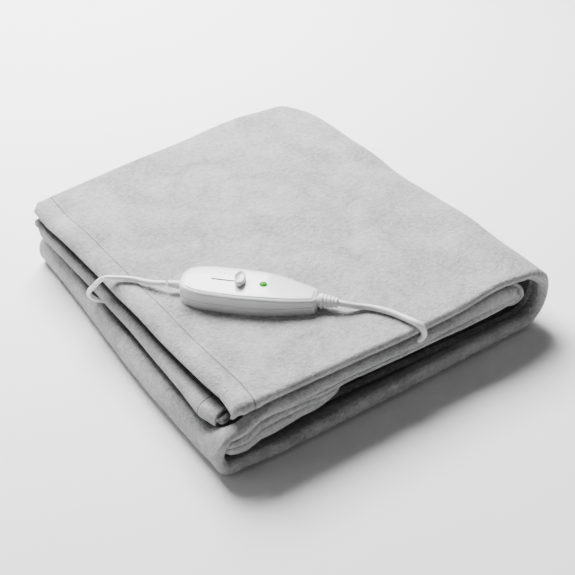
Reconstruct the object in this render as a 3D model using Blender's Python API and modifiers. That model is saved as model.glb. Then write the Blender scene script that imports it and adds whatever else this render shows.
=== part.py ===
"""Folded electric heated blanket with an inline hand controller.

Units are metres and +Z is up. The blanket lies folded on the plane z = 0, with the origin at the
middle of its underside: +X runs from the open hems to the closed outer fold, +Y from front to back.
"""

import math

import bmesh
import bpy
import numpy as np
from mathutils import Vector

# Folded blanket: one padded strip whose middle line lies in the XZ plane, extruded along Y
PACK_LENGTH_Y = 0.440
PACK_HALF_X = 0.2175
LAYER_T = 0.012  # outer ply, wire cavity and inner ply together
PLY_T = 0.00425
TOP_Z = 0.078
LAYER_B_Z = 0.058
LAYER_C_Z = 0.0375
LAYER_C_LOW_Z = 0.024  # next to the left fold, where the mouth of the pack opens
HEM_A_X = -0.196
HEM_B_X = -0.204
HEM_B_DROOP = 0.004
DROOP_X = (-0.150, -0.100)
RISE_X = (-0.115, -0.055)
INNER_FOLD_X = 0.162
HEM_LIP = 0.003
FRONT_RECESS_Y = -0.176  # layer B stops here at the front, and leaves the mains cord its way in
FRONT_RECESS_X = (-0.125, 0.045)

WIRE_R = 0.0009
WIRE_RUN_HALF_Y = 0.165
WIRE_PITCH = 0.062

# Hand controller, in its own frame: X along the case to the mains end, Z up from its underside
CONTROLLER_CENTRE = (-0.0933, -0.0869, TOP_Z + 0.0003)
CONTROLLER_ANGLE = math.radians(-45.5)
CASE_H = 0.022
CASE_WALL = 0.0018
CASE_SPLIT_Z = 0.00915
CASE_END_MAINS = 0.0725
CASE_END_LEAD = -0.072
CASE_HALF_OUTLINE = (
    (CASE_END_LEAD, 0.0), (-0.0705, 0.011), (-0.066, 0.018), (-0.052, 0.0240), (-0.028, 0.0262),
    (0.000, 0.0262), (0.025, 0.0240), (0.045, 0.0198), (0.060, 0.0152), (0.0700, 0.0116),
    (0.0722, 0.0080), (CASE_END_MAINS, 0.0),
)
NOSE_START_X = 0.018
NOSE_DROP = 0.0045
KNOB_X = -0.0085  # rest: the highest heat setting
KNOB_TRAVEL = 0.025
SLOT_ROOM = (0.0055, 0.0035)  # left beyond the knob's middle at the two ends of its travel
SLOT_X = (KNOB_X - KNOB_TRAVEL - SLOT_ROOM[0], KNOB_X + SLOT_ROOM[1])
SLOT_HALF_W = 0.0015
LENS_X = 0.0156
LENS_R = 0.00325
GAP = 0.0003

MAINS_R = 0.00325
LEAD_R = 0.00275
MAINS_RELIEF_L = 0.0205
LEAD_RELIEF_L = 0.0130

# Plug-in coupling of the low-level lead, in the mouth of the fold: its frame's X points to the lead
COUPLING_CENTRE = (-0.158, -0.0875, 0.039)
COUPLING_T = 0.0135
COUPLING_W = 0.034
COUPLING_PLUG_L = 0.050
COUPLING_SOCKET_L = 0.041
COUPLING_WALL = 0.0016
LATCH_TRAVEL = 0.0015

# Mains cord beyond the back of the pack: a coil of 5 turns in 2 layers, then a flat two-pin plug
COIL_CENTRE = (0.022, 0.272)
COIL_R = 0.035
COIL_BAND_W = 0.0195
COIL_Z = (0.0015, 0.0145)
TIE_ANGLE = math.radians(35)
TIE_W = 0.012
TIE_T = 0.0009
PLUG_CENTRE = (-0.0955, 0.2490, 0.0071)
PLUG_SIZE = (0.036, 0.035, 0.0137)
PIN_SPACING = 0.0186
PIN_R = 0.002
PIN_L = 0.019
BOOT_L = 0.018

# Middle line of the mains cord from the controller to its coil, points by hand
MAINS_ROUTE = (
    (-0.0273, -0.1540, 0.0874), (-0.0220, -0.1590, 0.0865), (-0.0148, -0.1632, 0.0840),
    (-0.0070, -0.1672, 0.0821), (0.0000, -0.1735, 0.0816), (0.0058, -0.1815, 0.0816),
    (0.0108, -0.1905, 0.0816), (0.0148, -0.2005, 0.0817), (0.0175, -0.2100, 0.0822),
    (0.0197, -0.2175, 0.0824), (0.0215, -0.2215, 0.0813), (0.0235, -0.2244, 0.0784),
    (0.0252, -0.2256, 0.0745), (0.0264, -0.2258, 0.0708), (0.0262, -0.2254, 0.0672),
    (0.0244, -0.2244, 0.0639), (0.0212, -0.2230, 0.0619), (0.0165, -0.2205, 0.0610),
    (0.0115, -0.2165, 0.0599), (0.0075, -0.2108, 0.0576), (0.0050, -0.2030, 0.0542),
    (0.0042, -0.1920, 0.0502), (0.0052, -0.1780, 0.0480),
    (0.0095, -0.1500, 0.0478), (0.0180, -0.1000, 0.0478), (0.0300, -0.0450, 0.0478),
    (0.0450, 0.0100, 0.0478), (0.0640, 0.0650, 0.0478), (0.0870, 0.1200, 0.0478),
    (0.1080, 0.1680, 0.0478), (0.1240, 0.2060, 0.0478), (0.1310, 0.2260, 0.0466),
    (0.1335, 0.2400, 0.0420), (0.1305, 0.2510, 0.0330), (0.1210, 0.2570, 0.0235),
    (0.1070, 0.2570, 0.0155), (0.0910, 0.2520, 0.0095), (0.0740, 0.2455, 0.0060),
    (0.0580, 0.2405, 0.0048),
)
# Middle line of the same cord from the coil to the plug
TAIL_ROUTE = (
    (-0.0140, 0.2405, 0.0110), (-0.0260, 0.2415, 0.0098), (-0.0380, 0.2445, 0.0082),
    (-0.0495, 0.2484, 0.0073), (-0.0585, 0.2490, 0.0071),
)
# Middle line of the low-level lead from the controller to the coupling
LEAD_ROUTE = (
    (-0.1549, -0.0242, 0.0875), (-0.1605, -0.0165, 0.0855), (-0.1650, -0.0075, 0.0828),
    (-0.1700, 0.0020, 0.0812), (-0.1765, 0.0110, 0.0811), (-0.1850, 0.0185, 0.0811),
    (-0.1925, 0.0240, 0.0812), (-0.1965, 0.0275, 0.0812), (-0.1992, 0.0305, 0.0800),
    (-0.2022, 0.0350, 0.0762), (-0.2052, 0.0402, 0.0698), (-0.2078, 0.0456, 0.0620),
    (-0.2091, 0.0512, 0.0560), (-0.2093, 0.0551, 0.0499), (-0.2087, 0.0567, 0.0456),
    (-0.2071, 0.0564, 0.0424), (-0.2050, 0.0548, 0.0400), (-0.2020, 0.0520, 0.0388),
    (-0.1950, 0.0450, 0.0385), (-0.1870, 0.0370, 0.0387), (-0.1780, 0.0292, 0.0389),
    (-0.1655, 0.0215, 0.0390), (-0.1480, 0.0205, 0.0390), (-0.1310, 0.0275, 0.0390),
    (-0.1170, 0.0430, 0.0395), (-0.1065, 0.0650, 0.0410), (-0.0960, 0.0880, 0.0430),
    (-0.0825, 0.1050, 0.0452), (-0.0665, 0.1070, 0.0470), (-0.0560, 0.0950, 0.0476),
    (-0.0535, 0.0745, 0.0477), (-0.0590, 0.0505, 0.0474), (-0.0700, 0.0285, 0.0462),
    (-0.0860, 0.0105, 0.0440), (-0.1045, 0.0000, 0.0410), (-0.1240, -0.0030, 0.0392),
    (-0.1400, -0.0040, 0.0390), (-0.1520, -0.0085, 0.0390), (-0.1574, -0.0155, 0.0390),
    (-0.1580, -0.0222, 0.0390),
)


# ---------------------------------------------------------------- scene, materials, basic shapes

def clear_scene():
    for obj in list(bpy.data.objects):
        bpy.data.objects.remove(obj, do_unlink=True)


def new_collection(name):
    collection = bpy.data.collections.new(name)
    bpy.context.scene.collection.children.link(collection)
    return collection


def make_material(name, colour, roughness, metallic=0.0):
    material = bpy.data.materials.new(name)
    material.use_nodes = True
    shader = material.node_tree.nodes["Principled BSDF"]
    shader.inputs["Base Color"].default_value = (*colour, 1.0)
    shader.inputs["Roughness"].default_value = roughness
    shader.inputs["Metallic"].default_value = metallic
    return material


def add_object(name, data, material, parent=None, location=(0, 0, 0), rotation=(0, 0, 0)):
    obj = bpy.data.objects.new(name, data)
    PARTS.objects.link(obj)
    obj.parent = parent
    obj.location = location
    obj.rotation_euler = rotation
    data.materials.append(material)
    return obj


def frame_empty(name, location, angle_z):
    empty = bpy.data.objects.new(name, None)
    PARTS.objects.link(empty)
    empty.location = location
    empty.rotation_euler = (0, 0, angle_z)
    return empty


def smooth_round(mesh, degrees=35):
    mesh.shade_smooth()
    mesh.set_sharp_from_angle(angle=math.radians(degrees))


def box_mesh(name, size, centre=(0, 0, 0)):
    mesh = bpy.data.meshes.new(name)
    shape = bmesh.new()
    bmesh.ops.create_cube(shape, size=1.0)
    bmesh.ops.scale(shape, vec=size, verts=shape.verts)
    bmesh.ops.translate(shape, vec=centre, verts=shape.verts)
    shape.to_mesh(mesh)
    shape.free()
    return mesh


def box(name, size, centre, material, parent=None, bevel=0.0):
    """A box whose object origin is its parent's, so that its local numbers stay readable."""
    obj = add_object(name, box_mesh(name, size, centre), material, parent)
    if bevel:
        round_edges(obj, bevel)
    return obj


def cylinder_mesh(name, radius, start, end, sides=24, end_radius=None):
    mesh = bpy.data.meshes.new(name)
    shape = bmesh.new()
    axis = Vector(end) - Vector(start)
    bmesh.ops.create_cone(
        shape, cap_ends=True, segments=sides, radius1=radius,
        radius2=radius if end_radius is None else end_radius, depth=axis.length,
    )
    turn = Vector((0, 0, 1)).rotation_difference(axis)
    bmesh.ops.rotate(shape, verts=shape.verts, cent=(0, 0, 0), matrix=turn.to_matrix())
    bmesh.ops.translate(shape, verts=shape.verts, vec=(Vector(start) + Vector(end)) / 2)
    shape.to_mesh(mesh)
    shape.free()
    smooth_round(mesh)
    return mesh


def cylinder(name, radius, start, end, material, parent=None, sides=24, end_radius=None):
    mesh = cylinder_mesh(name, radius, start, end, sides, end_radius)
    return add_object(name, mesh, material, parent)


def round_edges(obj, width, segments=2):
    bevel = obj.modifiers.new("rounded edges", "BEVEL")
    bevel.width = width
    bevel.segments = segments
    bevel.limit_method = "ANGLE"
    bevel.angle_limit = math.radians(40)


def as_cutter(obj):
    """Moves an object to the cutters, which aren't parts."""
    PARTS.objects.unlink(obj)
    CUTTERS.objects.link(obj)
    obj.hide_render = True
    obj.display_type = "WIRE"
    return obj


def boolean(obj, other, operation="DIFFERENCE"):
    modifier = obj.modifiers.new(f"{operation.lower()} {other.name}", "BOOLEAN")
    modifier.operation = operation
    modifier.object = other
    modifier.solver = "EXACT"


def cut_box(obj, name, size, centre, parent=None):
    boolean(obj, as_cutter(box(name, size, centre, BARE, parent)))


def cut_cylinder(obj, name, radius, start, end, parent=None, sides=24):
    boolean(obj, as_cutter(cylinder(name, radius, start, end, BARE, parent, sides)))


def flat_outline(name, points, thickness, material, parent=None):
    """A closed outline in the object's XY plane, extruded half its thickness to each side."""
    curve = bpy.data.curves.new(name, "CURVE")
    curve.dimensions = "2D"
    curve.fill_mode = "BOTH"
    curve.extrude = thickness / 2
    spline = curve.splines.new("POLY")
    spline.points.add(len(points) - 1)
    for point, (x, y) in zip(spline.points, points):
        point.co = (x, y, 0, 1)
    spline.use_cyclic_u = True
    return add_object(name, curve, material, parent)


def to_mesh_object(obj):
    """The curve object's shape as a mesh object in the same place, with its caps welded."""
    graph = bpy.context.evaluated_depsgraph_get()
    mesh = bpy.data.meshes.new_from_object(obj.evaluated_get(graph))
    shape = bmesh.new()
    shape.from_mesh(mesh)
    bmesh.ops.remove_doubles(shape, verts=shape.verts, dist=1e-6)
    bmesh.ops.recalc_face_normals(shape, faces=shape.faces)
    shape.to_mesh(mesh)
    shape.free()
    name, parent, local = obj.name, obj.parent, obj.matrix_basis.copy()
    material = obj.data.materials[0]
    bpy.data.objects.remove(obj, do_unlink=True)
    mesh.materials.clear()
    made = add_object(name, mesh, material, parent)
    made.matrix_basis = local
    return made


def turned(name, profile, material, parent=None, rotation=(0, 0, 0), location=(0, 0, 0), steps=24):
    """A solid of revolution about the object's Z from an (r, z) profile that runs top to bottom."""
    mesh = bpy.data.meshes.new(name)
    shape = bmesh.new()
    rim = [shape.verts.new((radius, 0, height)) for radius, height in profile]
    for first, second in zip(rim, rim[1:]):
        shape.edges.new((first, second))
    shape.to_mesh(mesh)
    shape.free()
    obj = add_object(name, mesh, material, parent, location, rotation)
    screw = obj.modifiers.new("turned", "SCREW")
    screw.steps = steps
    screw.render_steps = steps
    screw.use_merge_vertices = True
    screw.merge_threshold = 1e-5
    screw.use_smooth_shade = True
    return obj


# ---------------------------------------------------------------- cords

def smooth_curve(route, per_span=24):
    """Points along a Catmull-Rom curve through the route's points, whose spans go by their length."""
    pts = np.array(route, float)
    pts = np.vstack([2 * pts[0] - pts[1], pts, 2 * pts[-1] - pts[-2]])
    knots = np.concatenate([[0], np.cumsum(np.sqrt(np.linalg.norm(np.diff(pts, axis=0), axis=1)))])
    out = []
    for i in range(1, len(pts) - 2):
        t0, t1, t2, t3 = knots[i - 1:i + 3]
        p0, p1, p2, p3 = pts[i - 1:i + 3]
        for t in np.linspace(t1, t2, per_span, endpoint=False):
            a1 = (t1 - t) / (t1 - t0) * p0 + (t - t0) / (t1 - t0) * p1
            a2 = (t2 - t) / (t2 - t1) * p1 + (t - t1) / (t2 - t1) * p2
            a3 = (t3 - t) / (t3 - t2) * p2 + (t - t2) / (t3 - t2) * p3
            b1 = (t2 - t) / (t2 - t0) * a1 + (t - t0) / (t2 - t0) * a2
            b2 = (t3 - t) / (t3 - t1) * a2 + (t - t1) / (t3 - t1) * a3
            out.append((t2 - t) / (t2 - t1) * b1 + (t - t1) / (t2 - t1) * b2)
    out.append(pts[-2])
    return np.array(out)


def tube_points(route, diameter):
    """Points 2.5 diameters apart on gentle stretches, and down to 0.8 where the cord bends."""
    curve = smooth_curve(route)
    steps = np.linalg.norm(np.diff(curve, axis=0), axis=1)
    heading = np.diff(curve, axis=0) / steps[:, None]
    turn = np.arccos(np.clip((heading[1:] * heading[:-1]).sum(axis=1), -1, 1))
    kept, since, turned_by = [curve[0]], 0.0, 0.0
    for i in range(1, len(curve) - 1):
        since += steps[i - 1]
        turned_by += turn[i - 1]
        if since >= 2.5 * diameter or (turned_by > math.radians(28) and since >= 0.8 * diameter):
            kept.append(curve[i])
            since = turned_by = 0.0
    if since < 0.5 * diameter and len(kept) > 2:
        kept.pop()
    kept.append(curve[-1])
    return kept


def cord_tube(name, points, radius, material, bevel_resolution=2):
    curve = bpy.data.curves.new(name, "CURVE")
    curve.dimensions = "3D"
    curve.bevel_depth = radius
    curve.bevel_resolution = bevel_resolution
    curve.use_fill_caps = True
    spline = curve.splines.new("POLY")
    spline.points.add(len(points) - 1)
    for point, place in zip(spline.points, points):
        point.co = (*place, 1)
    return add_object(name, curve, material)


# ---------------------------------------------------------------- blanket

def smoothstep(x, low, high):
    share = min(1.0, max(0.0, (x - low) / (high - low)))
    return share * share * (3 - 2 * share)


def layer_b_height(x):
    return LAYER_B_Z - HEM_B_DROOP * (1 - smoothstep(x, *DROOP_X))


def layer_c_height(x):
    return LAYER_C_LOW_Z + (LAYER_C_Z - LAYER_C_LOW_Z) * smoothstep(x, *RISE_X)


def arc(centre_x, low_z, high_z, side, upward, count):
    """Points of a half turn that joins two levels, bulging towards side = +1 or -1."""
    radius = (high_z - low_z) / 2
    middle = (low_z + high_z) / 2
    angles = np.linspace(-math.pi / 2, math.pi / 2, count + 1)
    if not upward:
        angles = -angles
    return [(centre_x + side * radius * math.cos(a), middle + radius * math.sin(a)) for a in angles]


def strip_path():
    """Middle line of the folded strip as (x, z) points, from hem A through the folds to hem B."""
    half = LAYER_T / 2
    layer_a_z = TOP_Z - half
    outer_fold_x = PACK_HALF_X - TOP_Z / 2
    left_fold_x = -PACK_HALF_X + (LAYER_C_LOW_Z + half) / 2
    path = [(HEM_A_X, layer_a_z)]
    path += arc(outer_fold_x, half, layer_a_z, +1, False, 16)
    path += arc(left_fold_x, half, LAYER_C_LOW_Z, -1, True, 10)
    path += [(x, layer_c_height(x)) for x in np.linspace(RISE_X[0], RISE_X[1], 9)]
    path += arc(INNER_FOLD_X, LAYER_C_Z, LAYER_B_Z, +1, True, 8)
    path += [(x, layer_b_height(x)) for x in np.linspace(DROOP_X[1], DROOP_X[0], 7)]
    path.append((HEM_B_X, layer_b_height(HEM_B_X)))
    return np.array(path)


def offset_path(path, distance):
    """The path moved sideways, to the left of its heading where the distance is positive."""
    heading = np.gradient(path, axis=0)
    along = np.diff(path, axis=0)
    along /= np.linalg.norm(along, axis=1)[:, None]
    heading[1:-1] = along[1:] + along[:-1]
    heading[0], heading[-1] = along[0], along[-1]
    heading /= np.linalg.norm(heading, axis=1)[:, None]
    spread = np.ones(len(path))
    spread[1:-1] = 1 / np.maximum(0.5, (heading[1:-1] * along[1:]).sum(axis=1))
    normal = np.stack([-heading[:, 1], heading[:, 0]], axis=1)
    return path + normal * (distance * spread)[:, None]


def trimmed(path, length):
    """The path with this length taken off both of its straight ends."""
    path = path.copy()
    for end, inner in ((0, 1), (-1, -2)):
        away = path[inner] - path[end]
        path[end] += away / np.linalg.norm(away) * length
    return path


def extruded_along_y(name, outline, material, half_length=PACK_LENGTH_Y / 2):
    obj = flat_outline(name, [tuple(p) for p in outline], 2 * half_length, material)
    obj.rotation_euler = (math.pi / 2, 0, 0)
    return to_mesh_object(obj)


def front_recess(obj, name):
    """Layer B's front edge stands back behind the layers above and below it."""
    depth = FRONT_RECESS_Y + PACK_LENGTH_Y / 2 + 0.01
    cut_box(
        obj, name, (FRONT_RECESS_X[1] - FRONT_RECESS_X[0], depth, LAYER_T + 0.002),
        (sum(FRONT_RECESS_X) / 2, FRONT_RECESS_Y - depth / 2, LAYER_B_Z),
    )


def add_blanket():
    path = strip_path()
    half, inner = LAYER_T / 2, LAYER_T / 2 - PLY_T
    lip = trimmed(path, HEM_LIP)
    # The outer ply turns over both hems, so its outline is a C round the inner ply's ends.
    outer = np.vstack([
        offset_path(path, half), offset_path(path, -half)[-1:], offset_path(lip, -half)[-1:],
        offset_path(lip, inner)[::-1], offset_path(lip, -half)[:1], offset_path(path, -half)[:1],
    ])
    ply = extruded_along_y("blanket_outer_ply", outer, FLEECE)
    front_recess(ply, "front_recess_outer_cutter")
    short = trimmed(path, HEM_LIP + GAP)
    lining = np.vstack([offset_path(short, -inner), offset_path(short, -half)[::-1]])
    ply = extruded_along_y("blanket_inner_ply", lining, FLEECE)
    front_recess(ply, "front_recess_inner_cutter")
    add_heating_wire(trimmed(path, 0.020))
    box(
        "thermal_cut_out", (0.012, 0.007, 0.0028), (0.020, 0.190, TOP_Z - LAYER_T / 2),
        SENSOR, bevel=0.0006,
    )


def add_heating_wire(path):
    """One wire that runs to and fro across the blanket, between its plies."""
    lengths = np.concatenate([[0], np.cumsum(np.linalg.norm(np.diff(path, axis=0), axis=1))])
    runs = int(lengths[-1] // WIRE_PITCH)
    marks = np.linspace(0, lengths[-1], runs + 1)
    points, side = [], -1

    def at(distance):
        return np.interp(distance, lengths, path[:, 0]), np.interp(distance, lengths, path[:, 1])

    for first, second in zip(marks, marks[1:]):
        x, z = at(first)
        points.append((x, side * WIRE_RUN_HALF_Y, z))
        points.append((x, -side * WIRE_RUN_HALF_Y, z))
        side = -side
        for bend in lengths[(lengths > first + 0.001) & (lengths < second - 0.001)]:
            x, z = at(bend)
            points.append((x, side * WIRE_RUN_HALF_Y, z))
    x, z = at(marks[-1])
    points.append((x, side * WIRE_RUN_HALF_Y, z))
    cord_tube("heating_wire", points, WIRE_R, WIRE_JACKET)


# ---------------------------------------------------------------- hand controller

def case_outline(inset=0.0):
    """The case's outline as a closed smooth polygon, drawn in by the inset."""
    half = smooth_curve([(x, y, 0) for x, y in CASE_HALF_OUTLINE], per_span=4)[:, :2]
    closed = np.vstack([half, half[-2:0:-1] * (1, -1)])
    ahead, behind = np.roll(closed, -1, axis=0), np.roll(closed, 1, axis=0)
    tangent = ahead - behind
    tangent /= np.linalg.norm(tangent, axis=1)[:, None]
    inward = np.stack([tangent[:, 1], -tangent[:, 0]], axis=1)
    return closed + inward * inset


def case_block(name, inset, low, high, drop_offset):
    """A solid of the case's outline whose top falls towards the mains end."""
    obj = flat_outline(name, [tuple(p) for p in case_outline(inset)], high - low, WHITE_ABS, CASE)
    obj.location = (0, 0, (low + high) / 2)
    obj = to_mesh_object(obj)
    slope = math.atan2(NOSE_DROP, CASE_END_MAINS - NOSE_START_X)
    wedge = box(f"{name}_slope_cutter", (0.2, 0.08, 0.02), (0.1, 0, 0.01), BARE, CASE)
    wedge.location = (NOSE_START_X, 0, CASE_H - drop_offset)
    wedge.rotation_euler = (0, slope, 0)
    boolean(obj, as_cutter(wedge))
    return obj


def add_case_shells():
    bottom = flat_outline(
        "controller_bottom_shell", [tuple(p) for p in case_outline()],
        CASE_SPLIT_Z - GAP / 2, WHITE_ABS, CASE,
    )
    bottom.location = (0, 0, (CASE_SPLIT_Z - GAP / 2) / 2)
    bottom = to_mesh_object(bottom)
    round_lower_rim(bottom, 0.003)
    well = flat_outline(
        "bottom_well_cutter", [tuple(p) for p in case_outline(CASE_WALL)], CASE_SPLIT_Z, BARE, CASE,
    )
    well.location = (0, 0, CASE_WALL + CASE_SPLIT_Z / 2)
    boolean(bottom, as_cutter(to_mesh_object(well)))

    top = case_block("controller_top_shell", 0, CASE_SPLIT_Z + GAP / 2, CASE_H, 0)
    round_upper_rim(top, 0.0042)
    well = case_block("top_well_cutter", CASE_WALL, 0.002, CASE_H - CASE_WALL, CASE_WALL)
    boolean(top, as_cutter(well))
    cut_box(
        top, "knob_slot_cutter", (SLOT_X[1] - SLOT_X[0], 2 * SLOT_HALF_W, 0.01),
        (sum(SLOT_X) / 2, 0, CASE_H), CASE,
    )
    cut_cylinder(
        top, "lens_hole_cutter", LENS_R + GAP, (LENS_X, 0, CASE_H - 0.006),
        (LENS_X, 0, CASE_H + 0.004), CASE,
    )
    for shell, label in ((bottom, "bottom"), (top, "top")):
        cut_cylinder(
            shell, f"mains_exit_{label}_cutter", 0.0052, (0.060, 0, CASE_SPLIT_Z),
            (0.080, 0, CASE_SPLIT_Z), CASE,
        )
        cut_cylinder(
            shell, f"lead_exit_{label}_cutter", 0.0040, (-0.080, 0, CASE_SPLIT_Z),
            (-0.060, 0, CASE_SPLIT_Z), CASE,
        )


def round_lower_rim(obj, width):
    """Bevels only the rim of the underside, by the edges' bevel weight."""
    mesh = obj.data
    weights = mesh.attributes.new("bevel_weight_edge", "FLOAT", "EDGE")
    low = min(v.co.z for v in mesh.vertices)
    for edge in mesh.edges:
        flat = all(mesh.vertices[i].co.z < low + 1e-5 for i in edge.vertices)
        faces = [p for p in mesh.polygons if set(edge.vertices) <= set(p.vertices)]
        upright = any(abs(p.normal.z) < 0.5 for p in faces)
        weights.data[edge.index].value = 1.0 if flat and upright else 0.0
    bevel = obj.modifiers.new("rounded underside", "BEVEL")
    bevel.width = width
    bevel.segments = 2
    bevel.limit_method = "WEIGHT"


def round_upper_rim(obj, width):
    """Bevels the edge between the walls and the sloped top, which the Boolean before it has cut."""
    bevel = obj.modifiers.new("rounded top rim", "BEVEL")
    bevel.width = width
    bevel.segments = 3
    bevel.limit_method = "ANGLE"
    bevel.angle_limit = math.radians(50)


def add_controller():
    add_case_shells()
    add_case_screws()
    add_slider()
    add_controller_electrics()
    add_reliefs()


def add_case_screws():
    """Self-tapping screws in the underside, each with its boss above it."""
    for number, (x, y) in enumerate(((-0.058, 0.0), (0.056, 0.0)), start=1):
        profile = (
            (0, 0.0130), (0.0011, 0.0125), (0.0011, 0.0024), (0.0026, 0.0020), (0.0026, 0.0004),
            (0.0009, 0.0004), (0.0009, 0.0010), (0, 0.0010),
        )
        turned(f"case_screw_{number}", profile, STEEL, CASE, location=(x, y, 0), steps=16)
        cut_cylinder(
            bpy.data.objects["controller_bottom_shell"], f"screw_hole_{number}_cutter",
            0.0029, (x, y, -0.002), (x, y, 0.005), CASE, sides=16,
        )
        boss = cylinder(
            f"screw_boss_{number}", 0.0030, (x, y, 0.0055), (x, y, 0.0155), WHITE_ABS, CASE, 16,
        )
        cut_cylinder(
            boss, f"boss_bore_{number}_cutter", 0.0014, (x, y, 0.004), (x, y, 0.0145), CASE, 12,
        )


def add_slider():
    """The thumb knob, its stem and the contact carrier slide together along the slot."""
    slide = frame_empty("slider_axis", (0, 0, 0), 0)
    slide.parent = CASE
    slide.location = (KNOB_X, 0, CASE_H)
    knob = cylinder("slider_knob", 0.0090, (0, 0, 0.0004), (0, 0, 0.0042), WHITE_ABS, slide, 28)
    for vertex in knob.data.vertices:
        vertex.co.x *= 0.52
    round_edges(knob, 0.0009)
    cut_cylinder(
        knob, "thumb_hollow_cutter", 0.012, (-0.01, 0, 0.0150), (0.01, 0, 0.0150), slide, 32,
    )
    stem = as_cutter(box("knob_stem", (0.0044, 0.0022, 0.0052), (0, 0, -0.0020), BARE, slide))
    boolean(knob, stem, "UNION")
    box(
        "slider_contact_carrier", (0.0090, 0.0080, 0.0024), (0, 0, -0.0061), SENSOR, slide,
        bevel=0.0004,
    )


def add_controller_electrics():
    board_z = 0.0064
    board_top = board_z + 0.0016
    box("circuit_board", (0.0960, 0.0260, 0.0016), (-0.002, 0, board_z + 0.0008), BOARD, CASE)
    slot_mid = sum(SLOT_X) / 2
    box(
        "slide_switch_body", (0.0380, 0.0110, 0.0058), (slot_mid, 0, board_top + GAP + 0.0029),
        BLACK_NYLON, CASE, bevel=0.0004,
    )
    lens_top = CASE_H + 0.0006
    cylinder(
        "indicator_lens", LENS_R, (LENS_X, 0, CASE_H - 0.0030), (LENS_X, 0, lens_top),
        GREEN_LENS, CASE, end_radius=LENS_R - 0.0006,
    )
    cylinder(
        "indicator_led", 0.0025, (LENS_X, 0, board_top + GAP), (LENS_X, 0, 0.0170),
        GREEN_LENS, CASE, 16,
    )
    box(
        "film_capacitor", (0.0130, 0.0052, 0.0080), (0.0300, 0.0078, board_top + GAP + 0.0040),
        AMBER, CASE, bevel=0.0005,
    )
    box(
        "triac", (0.0092, 0.0042, 0.0070), (0.0290, -0.0035, board_top + GAP + 0.0035),
        BLACK_NYLON, CASE, bevel=0.0004,
    )
    box(
        "triac_heat_sink", (0.0160, 0.0012, 0.0075), (0.0290, -0.0066, board_top + GAP + 0.00375),
        ALUMINIUM, CASE,
    )
    cylinder(
        "thermal_fuse", 0.0019, (-0.0050, -0.0100, board_top + 0.0024),
        (0.0080, -0.0100, board_top + 0.0024), STEEL, CASE, 12,
    )
    box(
        "terminal_block_mains", (0.0075, 0.0100, 0.0062), (0.0410, 0.0020, board_top + GAP + 0.0031),
        GREEN_BLOCK, CASE, bevel=0.0003,
    )
    box(
        "terminal_block_lead", (0.0065, 0.0150, 0.0070), (-0.0455, 0, board_top + GAP + 0.0035),
        GREEN_BLOCK, CASE, bevel=0.0003,
    )


def relief_profile(root_r, tip_r, length, neck_r, neck_l, flange_r, rings):
    """(r, z) from the tip down: ringed taper, neck in the case wall, and flange inside the case."""
    profile = [(0, length), (tip_r * 0.86, length)]
    pitch = length / (rings + 0.5)
    for ring in range(rings):
        top = length - pitch * (ring + 0.15)
        share = ring / (rings - 1)
        ridge = tip_r + (root_r - tip_r) * share
        profile += [
            (ridge, top), (ridge, top - pitch * 0.55),
            (ridge * 0.84, top - pitch * 0.62), (ridge * 0.84, top - pitch * 0.93),
        ]
    profile += [
        (root_r * 0.9, 0.0016), (root_r * 0.9, 0.0006), (neck_r, 0.0006), (neck_r, -neck_l),
        (flange_r, -neck_l), (flange_r, -neck_l - 0.0015), (0, -neck_l - 0.0015),
    ]
    return profile


def add_reliefs():
    mains = relief_profile(0.0078, 0.0052, MAINS_RELIEF_L, 0.0049, 0.0030, 0.0062, 5)
    turned(
        "mains_strain_relief", mains, WHITE_PVC, CASE, rotation=(0, math.pi / 2, 0),
        location=(CASE_END_MAINS, 0, CASE_SPLIT_Z), steps=20,
    )
    lead = relief_profile(0.0045, 0.0038, LEAD_RELIEF_L, 0.0037, 0.0037, 0.0050, 4)
    turned(
        "lead_strain_relief", lead, WHITE_PVC, CASE, rotation=(0, -math.pi / 2, 0),
        location=(CASE_END_LEAD - 0.0009, 0, CASE_SPLIT_Z), steps=20,
    )


# ---------------------------------------------------------------- coupling

def half_housing(name, length_range, low, high, material, floor_low):
    """Half of a rounded box, hollowed from its open side."""
    start, end = length_range
    size = (end - start, COUPLING_W, high - low)
    half = box(name, size, ((start + end) / 2, 0, (low + high) / 2), material, JOINT, bevel=0.0015)
    hollow = (size[0] - 2 * COUPLING_WALL, COUPLING_W - 2 * COUPLING_WALL, high - low)
    shift = COUPLING_WALL if floor_low else -COUPLING_WALL
    cut_box(
        half, f"{name}_hollow_cutter", hollow,
        ((start + end) / 2, 0, (low + high) / 2 + shift), JOINT,
    )
    return half


def add_coupling():
    bottom, top = -COUPLING_T / 2, COUPLING_T / 2
    plug = (0.0005, COUPLING_PLUG_L)
    socket = (-COUPLING_SOCKET_L, 0.0)
    plug_low = half_housing("coupling_plug_body", plug, bottom, -GAP / 2, GREY_ABS, True)
    plug_high = half_housing("coupling_plug_cover", plug, GAP / 2, top, GREY_ABS, False)
    low = half_housing("coupling_socket_body", socket, bottom, -GAP / 2, GREY_ABS, True)
    high = half_housing("coupling_socket_cover", socket, GAP / 2, top, GREY_ABS, False)
    add_coupling_pins((plug_low, plug_high, low, high))
    add_coupling_latch(plug_low, plug_high)
    add_coupling_relief(plug_low, plug_high)
    box(
        "socket_sewing_flange", (COUPLING_SOCKET_L + 0.012, COUPLING_W + 0.014, 0.0010),
        (-COUPLING_SOCKET_L / 2, 0, top + GAP + 0.0005), FLEECE_BINDING, JOINT,
    )


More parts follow.
